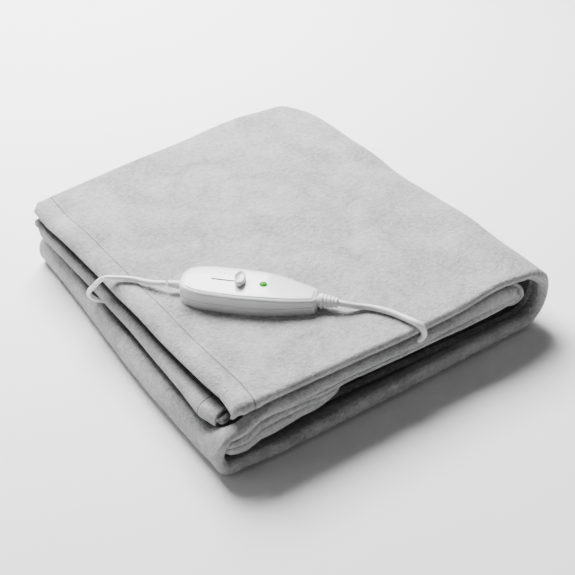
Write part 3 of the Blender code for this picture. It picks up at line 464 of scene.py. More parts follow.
def folded_blanket():
    """Points of the cloth's middle surface, by place along and line across."""
    places, rows = fold_line()
    base_x, base_z, normal_x, normal_z = rows.T
    front = along(
        places, (0, -0.2170), (on_top(-0.185), -0.2215), (on_top(-0.15), -0.2230),
        (on_top(-0.02), -0.2235), (on_top(0.14), -0.2215), (1.5, -0.2215),
        (on_bottom(0.12), -0.2255), (on_bottom(0), -0.2285), (on_bottom(-0.15), -0.2285),
        (3, -0.2245), (3.5, -0.2220), (4, -0.2235), (on_third(-0.18), -0.2265),
        (on_third(0.05), -0.2265), (on_third(0.12), -0.2245), (5, -0.2215), (5.5, -0.2180),
        (6, -0.2120), (on_second(0.152), -0.1800), (on_second(-0.130), -0.1800),
        (on_second(-0.160), -0.1925), (on_second(-0.185), -0.2025), (7, -0.2050),
    )
    lump = along(
        places, (0, 0.0100), (on_top(-0.185), 0.0150), (on_top(-0.165), 0.0120),
        (on_top(-0.145), 0.0105), (1, 0.0095), (1.15, 0.0140), (1.8, 0.0150),
        (on_bottom(0.12), 0.0190), (on_bottom(-0.03), 0.0195), (on_bottom(-0.10), 0.0165),
        (3, 0.0165), (3.3, 0.0130), (3.6, 0.0095), (4, 0.0090), (on_third(-0.17), 0.0098),
        (on_third(-0.157), 0.0130), (on_third(-0.145), 0.0165), (on_third(-0.12), 0.0175),
        (on_third(-0.10), 0.0205), (on_third(-0.07), 0.0185), (on_third(0.05), 0.0190),
        (on_third(0.09), 0.0250), (on_third(0.14), 0.0275), (5, 0.0220), (5.4, 0.0090),
        (7, 0.0080),
    )
    outward = along(places, (3, 0.0), (4, 0.5), (7, 0.5))  # the lump's share on its outer side
    lift = along(
        places, (3, 0.0), (3.5, 0.006), (4, 0.0140), (on_third(-0.19), 0.0200),
        (on_third(-0.18), 0.0277), (on_third(-0.17), 0.0315), (on_third(-0.157), 0.0330),
        (on_third(-0.145), 0.0320), (on_third(-0.115), 0.0315), (on_third(-0.10), 0.0278),
        (on_third(-0.07), 0.0194), (on_third(-0.05), 0.0172), (on_third(0.05), 0.0172),
        (on_third(0.09), 0.0148), (on_third(0.14), 0.0140), (5, 0.0125), (5.4, 0.0050),
        (5.7, 0.0),
    )
    hem_lift = along(
        places, (3, 0.0), (3.5, 0.005), (4, 0.0125), (on_third(-0.19), 0.0180),
        (on_third(-0.18), 0.0250), (on_third(-0.17), 0.0300), (on_third(-0.155), 0.0318),
        (on_third(-0.12), 0.0312), (on_third(-0.10), 0.0255), (on_third(-0.08), 0.0185),
        (on_third(-0.065), 0.0155), (on_third(-0.05), 0.0080), (5, 0.0050), (5.5, 0.0),
    )
    hem_front = along(
        places, (0, -0.196), (1, -0.199), (2, -0.198), (on_bottom(-0.1), -0.190), (3, -0.192),
        (3.6, -0.206), (4, -0.2165), (on_third(-0.18), -0.2185), (on_third(-0.155), -0.2172),
        (on_third(-0.12), -0.2188), (on_third(-0.10), -0.2205), (on_third(-0.078), -0.2200),
        (on_third(-0.062), -0.2060), (on_third(0.13), -0.2000), (5, -0.2120), (5.5, -0.2150),
        (6, -0.2080), (on_second(0.152), -0.172), (on_second(-0.130), -0.172),
        (on_second(-0.16), -0.185), (7, -0.197),
    )
    hem_length = along(
        places, (3, 0.008), (3.8, 0.009), (4, 0.014), (on_third(-0.18), 0.020),
        (on_third(-0.155), 0.0245), (on_third(-0.12), 0.0185), (on_third(-0.10), 0.0130),
        (on_third(-0.08), 0.0060), (on_third(-0.068), 0.0035), (5, 0.0035),
    )
    hem_turn = along(
        places, (3.4, 0.0), (4.0, 0.9), (on_third(-0.185), 1.0), (on_third(-0.075), 1.0),
        (on_third(-0.060), 0.0),
    )
    crease = along(
        places, (on_third(-0.13), 0.0), (on_third(-0.10), 0.0035), (on_third(0.10), 0.0045),
        (on_third(0.15), 0.0020), (5.2, 0.0),
    )
    lip = along(
        places, (3.25, 0.0), (3.6, 0.0035), (4, 0.0068), (on_third(-0.197), 0.0045),
        (on_third(-0.188), 0.0),
    )
    back = along(
        places, (0, 0.2185), (on_top(-0.16), 0.2215), (on_top(-0.10), 0.2245),
        (on_top(0.0), 0.2310), (on_top(0.08), 0.2370), (on_top(0.15), 0.2390), (1.3, 0.2350),
        (1.6, 0.2240), (2, 0.2200), (3, 0.2130), (3.5, 0.2100), (4.1, 0.2130),
        (on_third(0), 0.2200), (5, 0.2210), (6, 0.2215), (7, 0.2140),
    )
    ramp_start = along(
        places, (3, 0.175), (4, 0.186), (on_third(-0.19), 0.191), (on_third(-0.17), 0.192),
        (5, 0.184),
    )
    ramp_end = along(places, (3, 0.205), (4, 0.212), (on_third(-0.17), 0.217), (5, 0.2135))
    swell = np.maximum(lump - FLEECE_T, PLY_STEP)
    depth = np.minimum(swell / 2, 0.0060)
    fold_centre = front + FLEECE_T / 2 + depth
    back_centre = back - FLEECE_T / 2 - PLY_STEP
    columns, lines = [], cross_lines()
    for part, share in lines:
        if part in ("middle", "outer"):
            if part == "middle":
                y = (back - 0.009) * (1 - share) + fold_centre * share
            else:
                y = fold_centre * (1 - share) + back_centre * share
            gap = PLY_STEP + (swell - PLY_STEP) * (1 - eased(y - fold_centre, 0, 0.020))
            outer = PLY_STEP + (gap - PLY_STEP) * outward
            offset = outer if part == "outer" else outer - gap
            rise = lift * eased(-y, ramp_start, ramp_end)
        elif part == "front fold":
            angle = math.pi * (share - 0.5)
            outer = PLY_STEP + (swell - PLY_STEP) * outward
            y = fold_centre - depth * math.cos(angle)
            y = y + crease * math.exp(-(((share - 0.44) / 0.07) ** 2))
            offset = outer - swell / 2 + swell / 2 * math.sin(angle)
            rise = lift * eased(-y, ramp_start, ramp_end)
        elif part == "back fold":
            angle = math.pi * share
            y = back_centre + PLY_STEP * math.sin(angle)
            offset = np.full(len(places), PLY_STEP * math.cos(angle))
            rise = 0 * y
        else:
            run = share if part == "inner" else 1.0
            y = back_centre * (1 - run) + hem_front * run
            offset = np.full(len(places), -PLY_STEP)
            rise = hem_lift * eased(-y, ramp_start, -hem_front)
            if part == "front hem":
                for step in np.linspace(0, share, 13)[1:]:
                    angle = np.minimum(step * 2.2, 1) * math.pi / 2 * hem_turn
                    y = y - hem_length * share / 12 * np.cos(angle)
                    rise = rise - hem_length * share / 12 * np.sin(angle)
                y = y + 0.0032 * hem_turn * math.exp(-(((share - 0.5) / 0.055) ** 2))
        x = base_x + normal_x * offset
        z = base_z + normal_z * offset + rise + lip
        columns.append(np.stack([x, y, z], axis=1))
    return places, lines, np.stack(columns, axis=1)


HEAVE_X = (-0.20, -0.10, 0.0, 0.10, 0.20)
HEAVE_Y = (-0.22, -0.10, 0.0, 0.10, 0.22)
HEAVE = np.array((  # how far the loosely stacked top stands up, by y and then x
    (0.001, 0.0025, 0.0, 0.003, 0.004), (0.0, 0.0005, 0.0, 0.003, 0.0065),
    (0.0, 0.0, 0.002, 0.0045, 0.0075), (0.0, 0.002, 0.005, 0.008, 0.0095),
    (0.0, 0.0065, 0.0115, 0.0175, 0.0125),
))


def smooth_table(x, y):
    """The heave at a place, eased between the rows and columns of its table."""
    column = np.clip(np.searchsorted(HEAVE_X, x) - 1, 0, 3)
    row = np.clip(np.searchsorted(HEAVE_Y, y) - 1, 0, 3)
    across = np.clip((x - np.take(HEAVE_X, column)) / 0.1, 0, 1)
    row_y, next_y = np.take(HEAVE_Y, row), np.take(HEAVE_Y, row + 1)
    back = np.clip((y - row_y) / (next_y - row_y), 0, 1)
    near = HEAVE[row, column] * (1 - across) + HEAVE[row, column + 1] * across
    far = HEAVE[row + 1, column] * (1 - across) + HEAVE[row + 1, column + 1] * across
    return near * (1 - back) + far * back


def settle(places, lines, cloth):
    """Lets the folded cloth sag, lean and draw in as soft layers do."""
    x, y, z = cloth[..., 0], cloth[..., 1], cloth[..., 2]
    place = places[:, None]
    outer = np.array([part in ("outer", "front fold") for part, _ in lines])[None, :]
    inner = np.array([part in ("inner", "front hem") for part, _ in lines])[None, :]
    # Open hems: the top one wanders, and the cloths under its first thickness stand back
    top_hem = np.interp(
        y, (-0.22, -0.19, -0.16, -0.12, -0.05, 0.03, 0.10, 0.17, 0.21),
        (-0.1975, -0.1930, -0.1950, -0.1965, -0.1970, -0.1975, -0.1985, -0.2025, -0.2010),
    )
    hold = (1 - eased(x, -0.196, -0.135)) * (place < 1)
    x = x + hold * (top_hem + 0.196 + np.where(outer, 0, np.where(inner, 0.010, 0.006)))
    z = z - (1 - eased(x, top_hem, top_hem + 0.011)) ** 2 * 0.0070 * ((place < 1) & outer)
    z = z - 0.0013 * np.exp(-(((x - top_hem - HEM_BAND) / 0.0035) ** 2)) * ((place < 1) & outer)
    second_hem = np.interp(
        y, (-0.205, -0.180, -0.14, -0.03, 0.03, 0.08, 0.16, 0.22),
        (-0.2050, -0.2113, -0.2080, -0.2040, -0.2035, -0.2035, -0.2055, -0.2050),
    )
    hold = (1 - eased(x, -0.204, -0.140)) * (place > 6)
    x = x + hold * (second_hem + 0.204 + np.where(outer, 0.0050, np.where(inner, 0, 0.0030)))
    z = z - (1 - eased(x, second_hem, second_hem + 0.0075)) ** 2 * 0.0088 * ((place > 6) & inner)
    # The left fold leans in towards the back
    left_fold = (place > 2.5) & (place < 4.5)
    x = x + 0.0125 * eased(y, -0.10, 0.20) * (1 - eased(x, -0.215, -0.10)) * left_fold
    # The back right corner is drawn in, and the loosely stacked top heaves, ripples and creases
    x = x - 0.024 * eased(y, 0.180, 0.245) ** 2 * eased(x, 0.12, 0.215)
    heave = smooth_table(x, y) * eased(z, 0.0, 0.074)
    ripple = 0.0011 * np.sin(31 * x + 17 * y + 0.6) * np.sin(23 * y - 14 * x + 1.1)
    ripple = ripple + 0.0006 * np.sin(71 * y + 43 * x)
    fold_creases = 0.0024 * np.sin(52 * (x - 0.55 * y) + 0.8)
    fold_creases = fold_creases * eased(x, 0.02, 0.13) * (1 - eased(y, -0.02, 0.16))
    calm = eased(np.hypot((x + 0.05) / 1.3, y + 0.12), 0.07, 0.14)
    z = z + heave + (ripple + fold_creases * (place < 1.3)) * calm * eased(z, 0.020, 0.070)
    return np.stack([x, y, z], axis=-1)


def clear_of(cloth, line, distance):
    """Pushes the cloth's middle surface out to this distance from a cord's middle line."""
    flat = cloth.reshape(-1, 3)
    for start in range(0, len(flat), 4000):
        block = flat[start:start + 4000]
        away = block[:, None, :] - line[None, :, :]
        gap = np.linalg.norm(away, axis=2)
        nearest = gap.argmin(axis=1)
        rows = np.arange(len(block))
        least = gap[rows, nearest]
        short = np.clip(distance - least, 0, None)
        block += away[rows, nearest] / np.maximum(least, 1e-5)[:, None] * short[:, None]
    return flat.reshape(cloth.shape)


def cloth_piece(places, lines, cloth, material):
    """The cloth as a grid of quads that follows the folded places, given its thickness."""
    steps = np.linalg.norm(np.diff(cloth[:, len(lines) // 2], axis=0), axis=1)
    along_m = np.concatenate([[0], np.cumsum(steps)])
    steps = np.linalg.norm(np.diff(cloth[len(places) // 2], axis=0), axis=1)
    across_m = np.concatenate([[0], np.cumsum(steps)])
    count_s, count_t = len(places), len(lines)
    shape = bmesh.new()
    map_layer = shape.loops.layers.uv.new("cloth")
    bmesh.ops.create_grid(shape, x_segments=count_s - 1, y_segments=count_t - 1, size=1.0)
    thickness = shape.verts.layers.deform.verify()
    grid, shade = {}, {}
    for vertex in shape.verts:
        i = round((vertex.co.x + 1) / 2 * (count_s - 1))
        j = round((vertex.co.y + 1) / 2 * (count_t - 1))
        vertex.co = cloth[i, j]
        from_hem = min(along_m[i], along_m[-1] - along_m[i], across_m[j], across_m[-1] - across_m[j])
        vertex[thickness][0] = 0.30 + 0.70 * min(1, from_hem / 0.0022) ** 0.5
        grid[vertex.index] = (along_m[i] / along_m[-1], across_m[j] / across_m[-1])
        # Painted shade: the inner cloth and the inner layers, once past the front and left mouths of
        # the folds, are marked to be darkened in colour.
        within = lines[j][0] in ("middle", "inner") or places[i] > 3.9
        from_mouth = eased(cloth[i, j, 1], -0.214, -0.194) * eased(cloth[i, j, 0], -0.206, -0.196)
        shade[vertex.index] = float(within * from_mouth)
    for face in shape.faces:
        for loop in face.loops:
            loop[map_layer].uv = grid[loop.vert.index]
    piece = new_piece("blanket", shape, material, smooth_degrees=None)
    painted_fold_shade = piece.data.attributes.new("painted_fold_shade", "FLOAT", "POINT")
    painted_fold_shade.data.foreach_set("value", [shade[vertex] for vertex in range(len(piece.data.vertices))])
    piece.vertex_groups.new(name="thickness")
    solid = piece.modifiers.new("cloth thickness", "SOLIDIFY")
    solid.thickness = FLEECE_T
    solid.offset = 0
    solid.vertex_group = "thickness"
    solid.use_even_offset = False
    return piece


places, lines, cloth = folded_blanket()
cloth = settle(places, lines, cloth)
cloth = clear_of(cloth, mains_line[::2], MAINS_D / 2 + FLEECE_T / 2 + 0.0002)
cloth = clear_of(cloth, lead_line[::2], LEAD_D / 2 + FLEECE_T / 2 + 0.0002)


def fleece_pile():
    """Short brushed pile: fine tufts, stroked patches, and the stitched line along the hems."""
    group, given = surface_group("fleece_pile", {
        "Light": "Color", "Dark": "Color", "Relief": "Float", "Hem Line": "Float",
    })
    tufts = noise(group, 620.0, detail=4.0, roughness=0.65)
    locks = noise(group, 210.0, detail=3.0, distortion=0.6)
    stroked = noise(group, 22.0, detail=2.5, distortion=0.8)
    fine, medium = remap(group, tufts, 0, 0.36, 0.30, 0.70), remap(group, locks, 0, 0.34, 0.32, 0.68)
    pile = reckon(group, "ADD", fine, medium)
    total = reckon(group, "ADD", pile, remap(group, stroked, 0, 0.30, 0.35, 0.65))
    tone = mixed(group, total, given["Dark"], given["Light"])
    tone = mixed(group, given["Hem Line"], tone, (0.50, 0.50, 0.51, 1), blend_type="MULTIPLY")
    sunk = reckon(group, "MULTIPLY", given["Hem Line"], -0.5)
    height = reckon(group, "ADD", pile, sunk)
    surface_result(group, tone, remap(group, total, 1.0, 0.85), height, 0.0030, given["Relief"])
    return group


STITCH_HALF_W = 0.0017


def fleece_material():
    """The blanket's fleece, stitched along its hems, with painted shade inside the folds' mouths."""
    material = new_material(
        "grey_fleece", 0.95, sheen_weight=0.22, sheen_roughness=0.45, specular_ior_level=0.12,
    )
    tree = material.node_tree
    cloth_map = node(tree, "ShaderNodeUVMap", {}, uv_map="cloth")
    split = node(tree, "ShaderNodeSeparateXYZ", {"Vector": cloth_map.outputs["UV"]})
    masks = []
    for axis, size in (("X", BLANKET_FLAT[1]), ("Y", BLANKET_FLAT[0])):
        centred = reckon(tree, "SUBTRACT", split.outputs[axis], 0.5)
        from_middle = reckon(tree, "ABSOLUTE", centred)
        past_line = reckon(tree, "SUBTRACT", from_middle, 0.5 - HEM_BAND / size)
        from_line = reckon(tree, "ABSOLUTE", past_line)
        masks.append(remap(
            tree, from_line, 0, 1, STITCH_HALF_W / size, 0, interpolation_type="SMOOTHSTEP",
        ))
    pile = node(tree, "ShaderNodeGroup", {}, node_tree=fleece_pile())
    feed(tree, pile, {
        "Light": (0.58, 0.58, 0.585, 1), "Dark": (0.22, 0.22, 0.225, 1), "Relief": 0.62,
        "Hem Line": reckon(tree, "MAXIMUM", *masks),
    })
    # Painted shade: the marked cloth inside the folds is multiplied towards dark grey (0.30, 0.285,
    # 0.29).
    painted_fold_shade = node(tree, "ShaderNodeAttribute", {}, attribute_name="painted_fold_shade")
    feed(tree, tree.nodes["Principled BSDF"], {
        "Base Color": mixed(
            tree, painted_fold_shade.outputs["Fac"], pile.outputs["Colour"], (0.30, 0.285, 0.29, 1),
            blend_type="MULTIPLY",
        ),
        "Roughness": pile.outputs["Roughness"], "Normal": pile.outputs["Normal"],
    })
    return material


blanket = cloth_piece(places, lines, cloth, fleece_material())
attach(blanket, "pack")
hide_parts("blanket_outer_ply", "blanket_inner_ply", "heating_wire", "thermal_cut_out")


# ---- Controller's upper case
# White satin case about 145 mm long that fits one hand. Its top is a slightly crowned panel with a
# narrow moulded groove round it, a slot for the knob, and a nose that falls towards the mains cord.

CASE_TURN = Matrix.Rotation(math.radians(-45.5), 4, "Z")
CASE_PLACE = Matrix.Translation((-0.0933, -0.0869, 0.0783)) @ CASE_TURN
CASE_H = 0.022
SEAM_H = 0.0093  # where it meets the lower shell
CASE_HALF_OUTLINE = (
    (-0.072, 0, 0), (-0.0705, 0.011, 0), (-0.066, 0.018, 0), (-0.052, 0.0240, 0), (-0.028, 0.0262, 0),
    (0.000, 0.0262, 0), (0.025, 0.0240, 0), (0.045, 0.0198, 0), (0.060, 0.0152, 0), (0.0700, 0.0116, 0),
    (0.0722, 0.0080, 0), (0.0725, 0, 0),
)
SLOT_X = (-0.039, -0.005)
SLOT_HALF_W = 0.0011
SLOT_DEPTH = 0.0012
SLOT_ROW = 5  # the panel's row of cells that the slot runs in
CASE_WALL_RINGS = (  # inset from the outline, and depth below the panel
    (0, 0.0062), (0, 0.0046), (0.0003, 0.0034), (0.0010, 0.0023), (0.0021, 0.0015), (0.0032, 0.0012),
    (0.0035, 0.0016), (0.0040, 0.0016), (0.0043, 0.0007), (0.0050, 0.0005),
)


def nose_drop(x):
    return 0.0045 * np.clip((x - 0.018) / 0.0545, 0, 1)


def panel_height(x, across):
    """Height of the crowned panel, across being 0 at its middle and 1 at its side."""
    return CASE_H - 0.0005 * across ** 2 - nose_drop(x)


def case_stations():
    """The case's half outline as (x, y), with points at both ends of the slot."""
    fine = smooth_line(CASE_HALF_OUTLINE, 0.0003)
    fine[:, 0] = np.maximum.accumulate(fine[:, 0])
    coarse = smooth_line(CASE_HALF_OUTLINE, 0.0028)[:, 0]
    kept = [x for x in coarse[1:-1] if min(abs(x - SLOT_X[0]), abs(x - SLOT_X[1])) > 0.0010]
    xs = np.array(sorted([coarse[0], *kept, *SLOT_X, coarse[-1]]))
    ys = np.interp(xs, fine[:, 0], fine[:, 1])
    ys[0] = ys[-1] = 0
    return np.stack([xs, ys], axis=1)


def inset_loop(half, inset):
    closed = np.vstack([half, half[-2:0:-1] * (1, -1)])
    tangent = np.roll(closed, -1, axis=0) - np.roll(closed, 1, axis=0)
    tangent /= np.linalg.norm(tangent, axis=1)[:, None]
    return closed + np.stack([tangent[:, 1], -tangent[:, 0]], axis=1) * inset


def loop_faces(shape, low, high):
    for i in range(len(low)):
        shape.faces.new((low[i - 1], low[i], high[i], high[i - 1]))


def upper_case():
    half = case_stations()
    shape = bmesh.new()
    rings = []
    loop = inset_loop(half, 0)
    rings.append([shape.verts.new((x, y, SEAM_H)) for x, y in loop])
    for inset, depth in CASE_WALL_RINGS:
        loop = inset_loop(half, inset)
        rings.append([shape.verts.new((x, y, CASE_H - depth - nose_drop(x))) for x, y in loop])
    for low, high in zip(rings, rings[1:]):
        loop_faces(shape, low, high)
    count, rim = len(half), rings[-1]
    shares = (0.8, 0.6, 0.4, 0.2)
    rows = [[rim[0]]]
    for i in range(1, count - 1):
        x, y = rim[i].co.x, rim[i].co.y
        if half[i][0] in SLOT_X:
            x = half[i][0]
        lines = [s * y for s in shares] + [min(SLOT_HALF_W, 0.1 * y)]
        lines += [-line for line in lines[::-1]]
        inside = [shape.verts.new((x, line, panel_height(x, line / y))) for line in lines]
        rows.append([rim[i], *inside, rim[-i]])
    rows.append([rim[count - 1]])
    for first, second in zip(rows[1:], rows[2:-1]):
        middle_x = (first[SLOT_ROW].co.x + second[SLOT_ROW].co.x) / 2
        for j in range(len(first) - 1):
            if j == SLOT_ROW and SLOT_X[0] < middle_x < SLOT_X[1]:
                sunken_cell(shape, first, second)
            else:
                shape.faces.new((first[j], second[j], second[j + 1], first[j + 1]))
    for tip, row in ((rows[0][0], rows[1]), (rows[-1][0], rows[-2])):
        for first, second in zip(row, row[1:]):
            shape.faces.new((tip, first, second))
    bmesh.ops.remove_doubles(shape, verts=shape.verts, dist=1e-6)
    bmesh.ops.recalc_face_normals(shape, faces=shape.faces)
    bmesh.ops.transform(shape, matrix=CASE_PLACE, verts=shape.verts)
    return shape


def sunken_cell(shape, first, second):
    """One cell of the slot: its floor a little way down, and the walls on its outer sides."""
    near, far = SLOT_ROW, SLOT_ROW + 1
    corners = (first[near], second[near], second[far], first[far])
    floor = [shape.verts.new(vertex.co - Vector((0, 0, SLOT_DEPTH))) for vertex in corners]
    sides = [(0, 1), (2, 3)]
    if abs(corners[0].co.x - SLOT_X[0]) < 1e-4:
        sides.append((3, 0))
    if abs(corners[1].co.x - SLOT_X[1]) < 1e-4:
        sides.append((1, 2))
    # Painted shade: the slot's walls and floor take the case's second, dark grey material.
    for a, b in sides:
        shape.faces.new((corners[a], corners[b], floor[b], floor[a])).material_index = 1
    shape.faces.new(floor).material_index = 1


def finish_node(name, material):
    """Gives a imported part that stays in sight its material."""
    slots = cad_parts[name].material_slots
    for place in slots:
        place.link = "OBJECT"
        place.material = material


case_white = plastic(
    "case_white", (0.80, 0.80, 0.81), 0.26, grain=1100.0, relief=0.05, coat_weight=0.25,
)
# Painted shade: dark grey for the slot's floor and walls, standing in for the shade of the narrow slot.
slot_painted_shade = plastic("slot_shade", (0.30, 0.30, 0.31), 0.6)
upper = new_piece("controller_upper_case", upper_case(), case_white, smooth_degrees=50)
upper.data.materials.append(slot_painted_shade)
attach(upper, "pack")
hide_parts("controller_top_shell")
finish_node("controller_bottom_shell", case_white)


# ---- Heat marks
# Four short bars printed in grey ink beside the slot, longer from the off end to the hottest
# setting. Each is a thin layer on the panel.

shape = bmesh.new()
for x, long in ((-0.0335, 0.0010), (-0.0275, 0.0017), (-0.0215, 0.0024), (-0.0165, 0.0031)):
    made = bmesh.ops.create_cube(shape, size=1.0)["verts"]
    bmesh.ops.scale(shape, vec=(0.0009, long, 0.00012), verts=made)
    bmesh.ops.translate(shape, vec=(x, 0.0107, panel_height(x, 0.45) + 0.00006), verts=made)
bmesh.ops.transform(shape, matrix=CASE_PLACE, verts=shape.verts)
marks = new_piece("heat_marks", shape, plastic("mark_ink", (0.17, 0.17, 0.18), 0.6, grain=2600.0))
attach(marks, "pack")


# ---- Slide knob
# Oval white thumb knob with a dished top. Its stem goes down through the slot to the contact
# carrier that slides in the switch.

KNOB_X = -0.0085
KNOB_LONG = 0.0108  # half the length of its widest ring, across the case
KNOB_SHORT = 0.0056  # half the width of that ring, along the case
KNOB_PROFILE = (  # share of the oval, and height above the panel
    (0, 0.0004), (0.86, 0.0004), (0.92, 0.0008), (0.95, 0.0026), (1.00, 0.0056), (0.99, 0.0065),
    (0.95, 0.0070), (0.89, 0.0071), (0.81, 0.0066), (0.66, 0.0056), (0.45, 0.0049), (0.22, 0.0046),
    (0, 0.0045),
)


def slide_knob():
    shape = bmesh.new()
    profile = [shape.verts.new((share, 0, height)) for share, height in KNOB_PROFILE]
    edges = [shape.edges.new(pair) for pair in zip(profile, profile[1:])]
    bmesh.ops.spin(
        shape, geom=[*profile, *edges], cent=(0, 0, 0), axis=(0, 0, 1), dvec=(0, 0, 0),
        angle=2 * math.pi, steps=40, use_merge=True,
    )
    bmesh.ops.remove_doubles(shape, verts=shape.verts, dist=1e-6)
    bmesh.ops.scale(shape, vec=(KNOB_SHORT, KNOB_LONG, 1), verts=shape.verts)
    bmesh.ops.translate(shape, vec=(KNOB_X, 0, CASE_H), verts=shape.verts)
    stem = bmesh.ops.create_cube(shape, size=1.0)["verts"]
    bmesh.ops.scale(shape, vec=(0.0044, 0.0016, 0.0048), verts=stem)
    bmesh.ops.translate(shape, vec=(KNOB_X, 0, CASE_H - 0.0018), verts=stem)
    bmesh.ops.recalc_face_normals(shape, faces=shape.faces)
    bmesh.ops.transform(shape, matrix=CASE_PLACE, verts=shape.verts)
    return shape


knob_white = plastic(
    "knob_white", (0.74, 0.74, 0.75), 0.30, grain=1500.0, relief=0.06, coat_weight=0.2,
)
knob = new_piece("slide_knob", slide_knob(), knob_white, smooth_degrees=60)
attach(knob, "slider")
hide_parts("slider_knob")


# ---- Indicator lamp
# A moulded green plastic lens set into the panel, lit from below by a small lamp on the circuit
# board.

LENS_R, LENS_X = 0.0041, 0.0156


def lit_green(name, colour, glow):
    material = plastic(name, colour, 0.55, grain=700.0, relief=0.04, specular_ior_level=0.15)
    tree = material.node_tree
    feed(tree, tree.nodes["Principled BSDF"], {
        "Emission Color": mixed(tree, noise(tree, 380.0), (0.0, 0.50, 0.01, 1), (0.01, 0.75, 0.03, 1)),
        "Emission Strength": glow,
    })
    return material


shape = bmesh.new()
bmesh.ops.create_uvsphere(shape, u_segments=32, v_segments=16, radius=LENS_R)
bmesh.ops.delete(shape, geom=[v for v in shape.verts if v.co.z < -0.0005], context="VERTS")
bmesh.ops.scale(shape, vec=(1, 1, 0.50), verts=shape.verts)
bmesh.ops.translate(shape, vec=(LENS_X, 0, CASE_H), verts=shape.verts)
bmesh.ops.transform(shape, matrix=CASE_PLACE, verts=shape.verts)
lens = new_piece("lamp_lens", shape, lit_green("lens_green", (0.002, 0.30, 0.006), 0.20))
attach(lens, "pack")
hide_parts("indicator_lens")
finish_node("indicator_led", lit_green("lamp_green", (0.05, 0.55, 0.08), 0.9))


# ---- Cord entries and plug
# Soft white PVC mouldings: the ringed strain reliefs, moulded onto the ends of the cords, and the
# flat two-pin plug with its boot.

finish_node("mains_strain_relief", cord_white)
finish_node("lead_strain_relief", cord_white)
finish_node("coupling_strain_relief", cord_white)
finish_node("plug_strain_relief", cord_white)
finish_node("plug_body", plastic("plug_white", (0.82, 0.82, 0.82), 0.38, grain=800.0, relief=0.12))


# ---- Coupling
# The lead's plug-in coupling in the mouth of the fold: light grey moulded housings, each closed by
# its cover, and a lighter latch that a spring pushes out.

coupling_grey = plastic("coupling_grey", (0.42, 0.42, 0.43), 0.45, grain=700.0, relief=0.2)
for name in (
    "coupling_plug_body", "coupling_plug_cover", "coupling_socket_body", "coupling_socket_cover",
    "latch_spring_seat",
):
    finish_node(name, coupling_grey)
finish_node("coupling_latch", plastic("latch_grey", (0.62, 0.62, 0.62), 0.4, grain=900.0))


# ---- Sewing flange and cord tie
# A woven tape flange sewn to the lining above the coupling, and a woven hook-and-loop strap that
# holds the coil.

THREADS = 330.0  # scale of the wave that draws them


def bands(tree, direction, scale, distortion):
    places = node(tree, "ShaderNodeTexCoord", {})
    made = node(tree, "ShaderNodeTexWave", {
        "Vector": places.outputs["Object"], "Scale": scale, "Distortion": distortion,
    }, bands_direction=direction)
    return made.outputs["Fac"]


def woven_band():
    """Warp and weft of a narrow woven tape."""
    group, given = surface_group("woven_band", {"Colour": "Color"})
    woven = reckon(
        group, "MULTIPLY", bands(group, "X", THREADS, 0.5), bands(group, "Y", THREADS, 0.5),
    )
    colour = shaded(group, given["Colour"], remap(group, woven, 0.72, 1.12))
    surface_result(group, colour, remap(group, woven, 0.95, 0.8), woven, 0.0003, 0.6)
    return group


WOVEN = woven_band()


def tape(name, colour):
    return surfaced(name, WOVEN, {"Colour": (*colour, 1)}, 0.9, sheen_weight=0.1)


shape = bmesh.new()
bmesh.ops.create_cube(shape, size=1.0)
bmesh.ops.scale(shape, vec=(0.0475, 0.0525, 0.0009), verts=shape.verts)
bmesh.ops.bevel(
    shape, geom=[e for e in shape.edges if abs((e.verts[0].co - e.verts[1].co).z) > 0.0005],
    offset=0.004, segments=4, profile=0.5, affect="EDGES", material=-1,
)
bmesh.ops.translate(shape, vec=(-0.158, -0.108, 0.0466), verts=shape.verts)
flange = new_piece("sewn_flange", shape, tape("binding", (0.30, 0.30, 0.31)))
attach(flange, "pack")
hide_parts("socket_sewing_flange")


STRAP_W = 0.0116
STRAP_T = 0.0009
STRAP_LOOP = (0.0112, 0.0003, 0.0157)  # half its breadth across the coil, underside and top
STRAP_CORNER_R = 0.0049


def strap_loop():
    """The strap's outer side in its own plane, as (across the coil, up) points."""
    half_w, low, high = STRAP_LOOP
    side, low, high = half_w - STRAP_CORNER_R, low + STRAP_CORNER_R, high - STRAP_CORNER_R
    points = []
    for centre_x, centre_z, start in (
        (side, high, 0), (-side, high, 90), (-side, low, 180), (side, low, 270),
    ):
        for angle in range(start, start + 91, 15):
            turn = math.radians(angle)
            x = centre_x + STRAP_CORNER_R * math.cos(turn)
            points.append((x, centre_z + STRAP_CORNER_R * math.sin(turn)))
    return points


def strap_band():
    """The loop drawn out to the strap's width, then given the webbing's thickness."""
    shape = bmesh.new()
    loop = [shape.verts.new((x, -STRAP_W / 2, z)) for x, z in strap_loop()]
    edges = [shape.edges.new((loop[i - 1], loop[i])) for i in range(len(loop))]
    drawn = bmesh.ops.extrude_edge_only(shape, edges=edges)["geom"]
    far_side = [item for item in drawn if isinstance(item, bmesh.types.BMVert)]
    bmesh.ops.translate(shape, vec=(0, STRAP_W, 0), verts=far_side)
    bmesh.ops.recalc_face_normals(shape, faces=shape.faces)
    bmesh.ops.solidify(shape, geom=shape.faces, thickness=STRAP_T)
    return shape


shape = strap_band()
end = bmesh.ops.create_cube(shape, size=1.0)["verts"]
bmesh.ops.scale(shape, vec=(0.0130, 0.0112, 0.0008), verts=end)
bmesh.ops.translate(shape, vec=(0.0005, 0, 0.01605), verts=end)
bmesh.ops.recalc_face_normals(shape, faces=shape.faces)
turn = math.radians(TIE_ANGLE)
place = Matrix.Translation((
    COIL_CENTRE[0] + 0.035 * math.cos(turn), COIL_CENTRE[1] + 0.035 * math.sin(turn), 0,
)) @ Matrix.Rotation(turn, 4, "Z")
bmesh.ops.transform(shape, matrix=place, verts=shape.verts)
strap = new_piece("coil_strap", shape, tape("strap", (0.33, 0.33, 0.34)))
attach(strap, "pack")
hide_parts("cord_tie")


# ---- Controller's electrics
# What the case holds: a circuit board with its switch, suppressor, triac, fuse and wire terminals,
# and the bosses and steel screws that join the two shells.

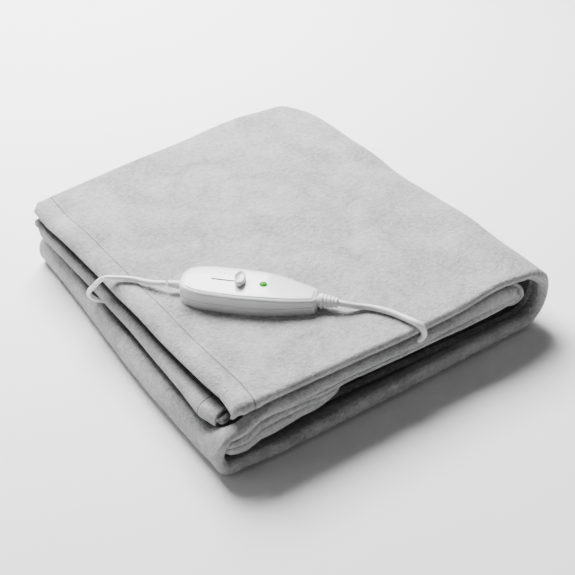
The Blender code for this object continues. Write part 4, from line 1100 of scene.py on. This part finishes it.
def circuit_board():
    """Green laminate with paler copper runs under its lacquer."""
    material = plastic("board_green", (0.05, 0.20, 0.09), 0.4, grain=500.0, relief=0.1)
    tree = material.node_tree
    runs = remap(tree, bands(tree, "Y", 60.0, 6.0), 0, 1, 0.66, 0.72)
    feed(tree, tree.nodes["Principled BSDF"], {
        "Base Color": mixed(tree, runs, (0.04, 0.17, 0.08, 1), (0.09, 0.30, 0.14, 1)),
    })
    return material


def bare_metal(name, colour, roughness, streak):
    """Rolled or plated metal with noise of this scale in its colour and gloss."""
    material = new_material(name, roughness, metallic=1.0)
    tree = material.node_tree
    streaks = noise(tree, streak, detail=5.0)
    feed(tree, tree.nodes["Principled BSDF"], {
        "Base Color": mixed(tree, streaks, (*(0.86 * part for part in colour), 1), (*colour, 1)),
        "Roughness": remap(tree, streaks, roughness * 0.7, roughness * 1.4),
    })
    return material


finish_node("circuit_board", circuit_board())
phenolic = plastic("phenolic", (0.14, 0.11, 0.09), 0.5, grain=600.0, relief=0.25)
finish_node("slider_contact_carrier", phenolic)
finish_node("screw_boss_1", case_white)
finish_node("screw_boss_2", case_white)
switch_black = plastic("switch_black", (0.02, 0.02, 0.021), 0.45, grain=800.0)
finish_node("slide_switch_body", switch_black)
finish_node("triac", switch_black)
finish_node("film_capacitor", plastic("capacitor_amber", (0.55, 0.30, 0.07), 0.3, grain=300.0))
terminal_green = plastic("terminal_green", (0.06, 0.24, 0.13), 0.5, grain=700.0)
finish_node("terminal_block_mains", terminal_green)
finish_node("terminal_block_lead", terminal_green)
finish_node("triac_heat_sink", bare_metal("aluminium", (0.77, 0.78, 0.79), 0.35, 260.0))
steel = bare_metal("steel", (0.60, 0.60, 0.60), 0.30, 420.0)
plated_brass = bare_metal("plated_brass", (0.78, 0.76, 0.70), 0.22, 350.0)
for name in ("thermal_fuse", "case_screw_1", "case_screw_2", "latch_spring"):
    finish_node(name, steel)
for name in (
    "coupling_pin_1", "coupling_pin_2", "coupling_pin_3", "coupling_contact_1", "coupling_contact_2",
    "coupling_contact_3", "plug_pin_1", "plug_pin_2",
):
    finish_node(name, plated_brass)
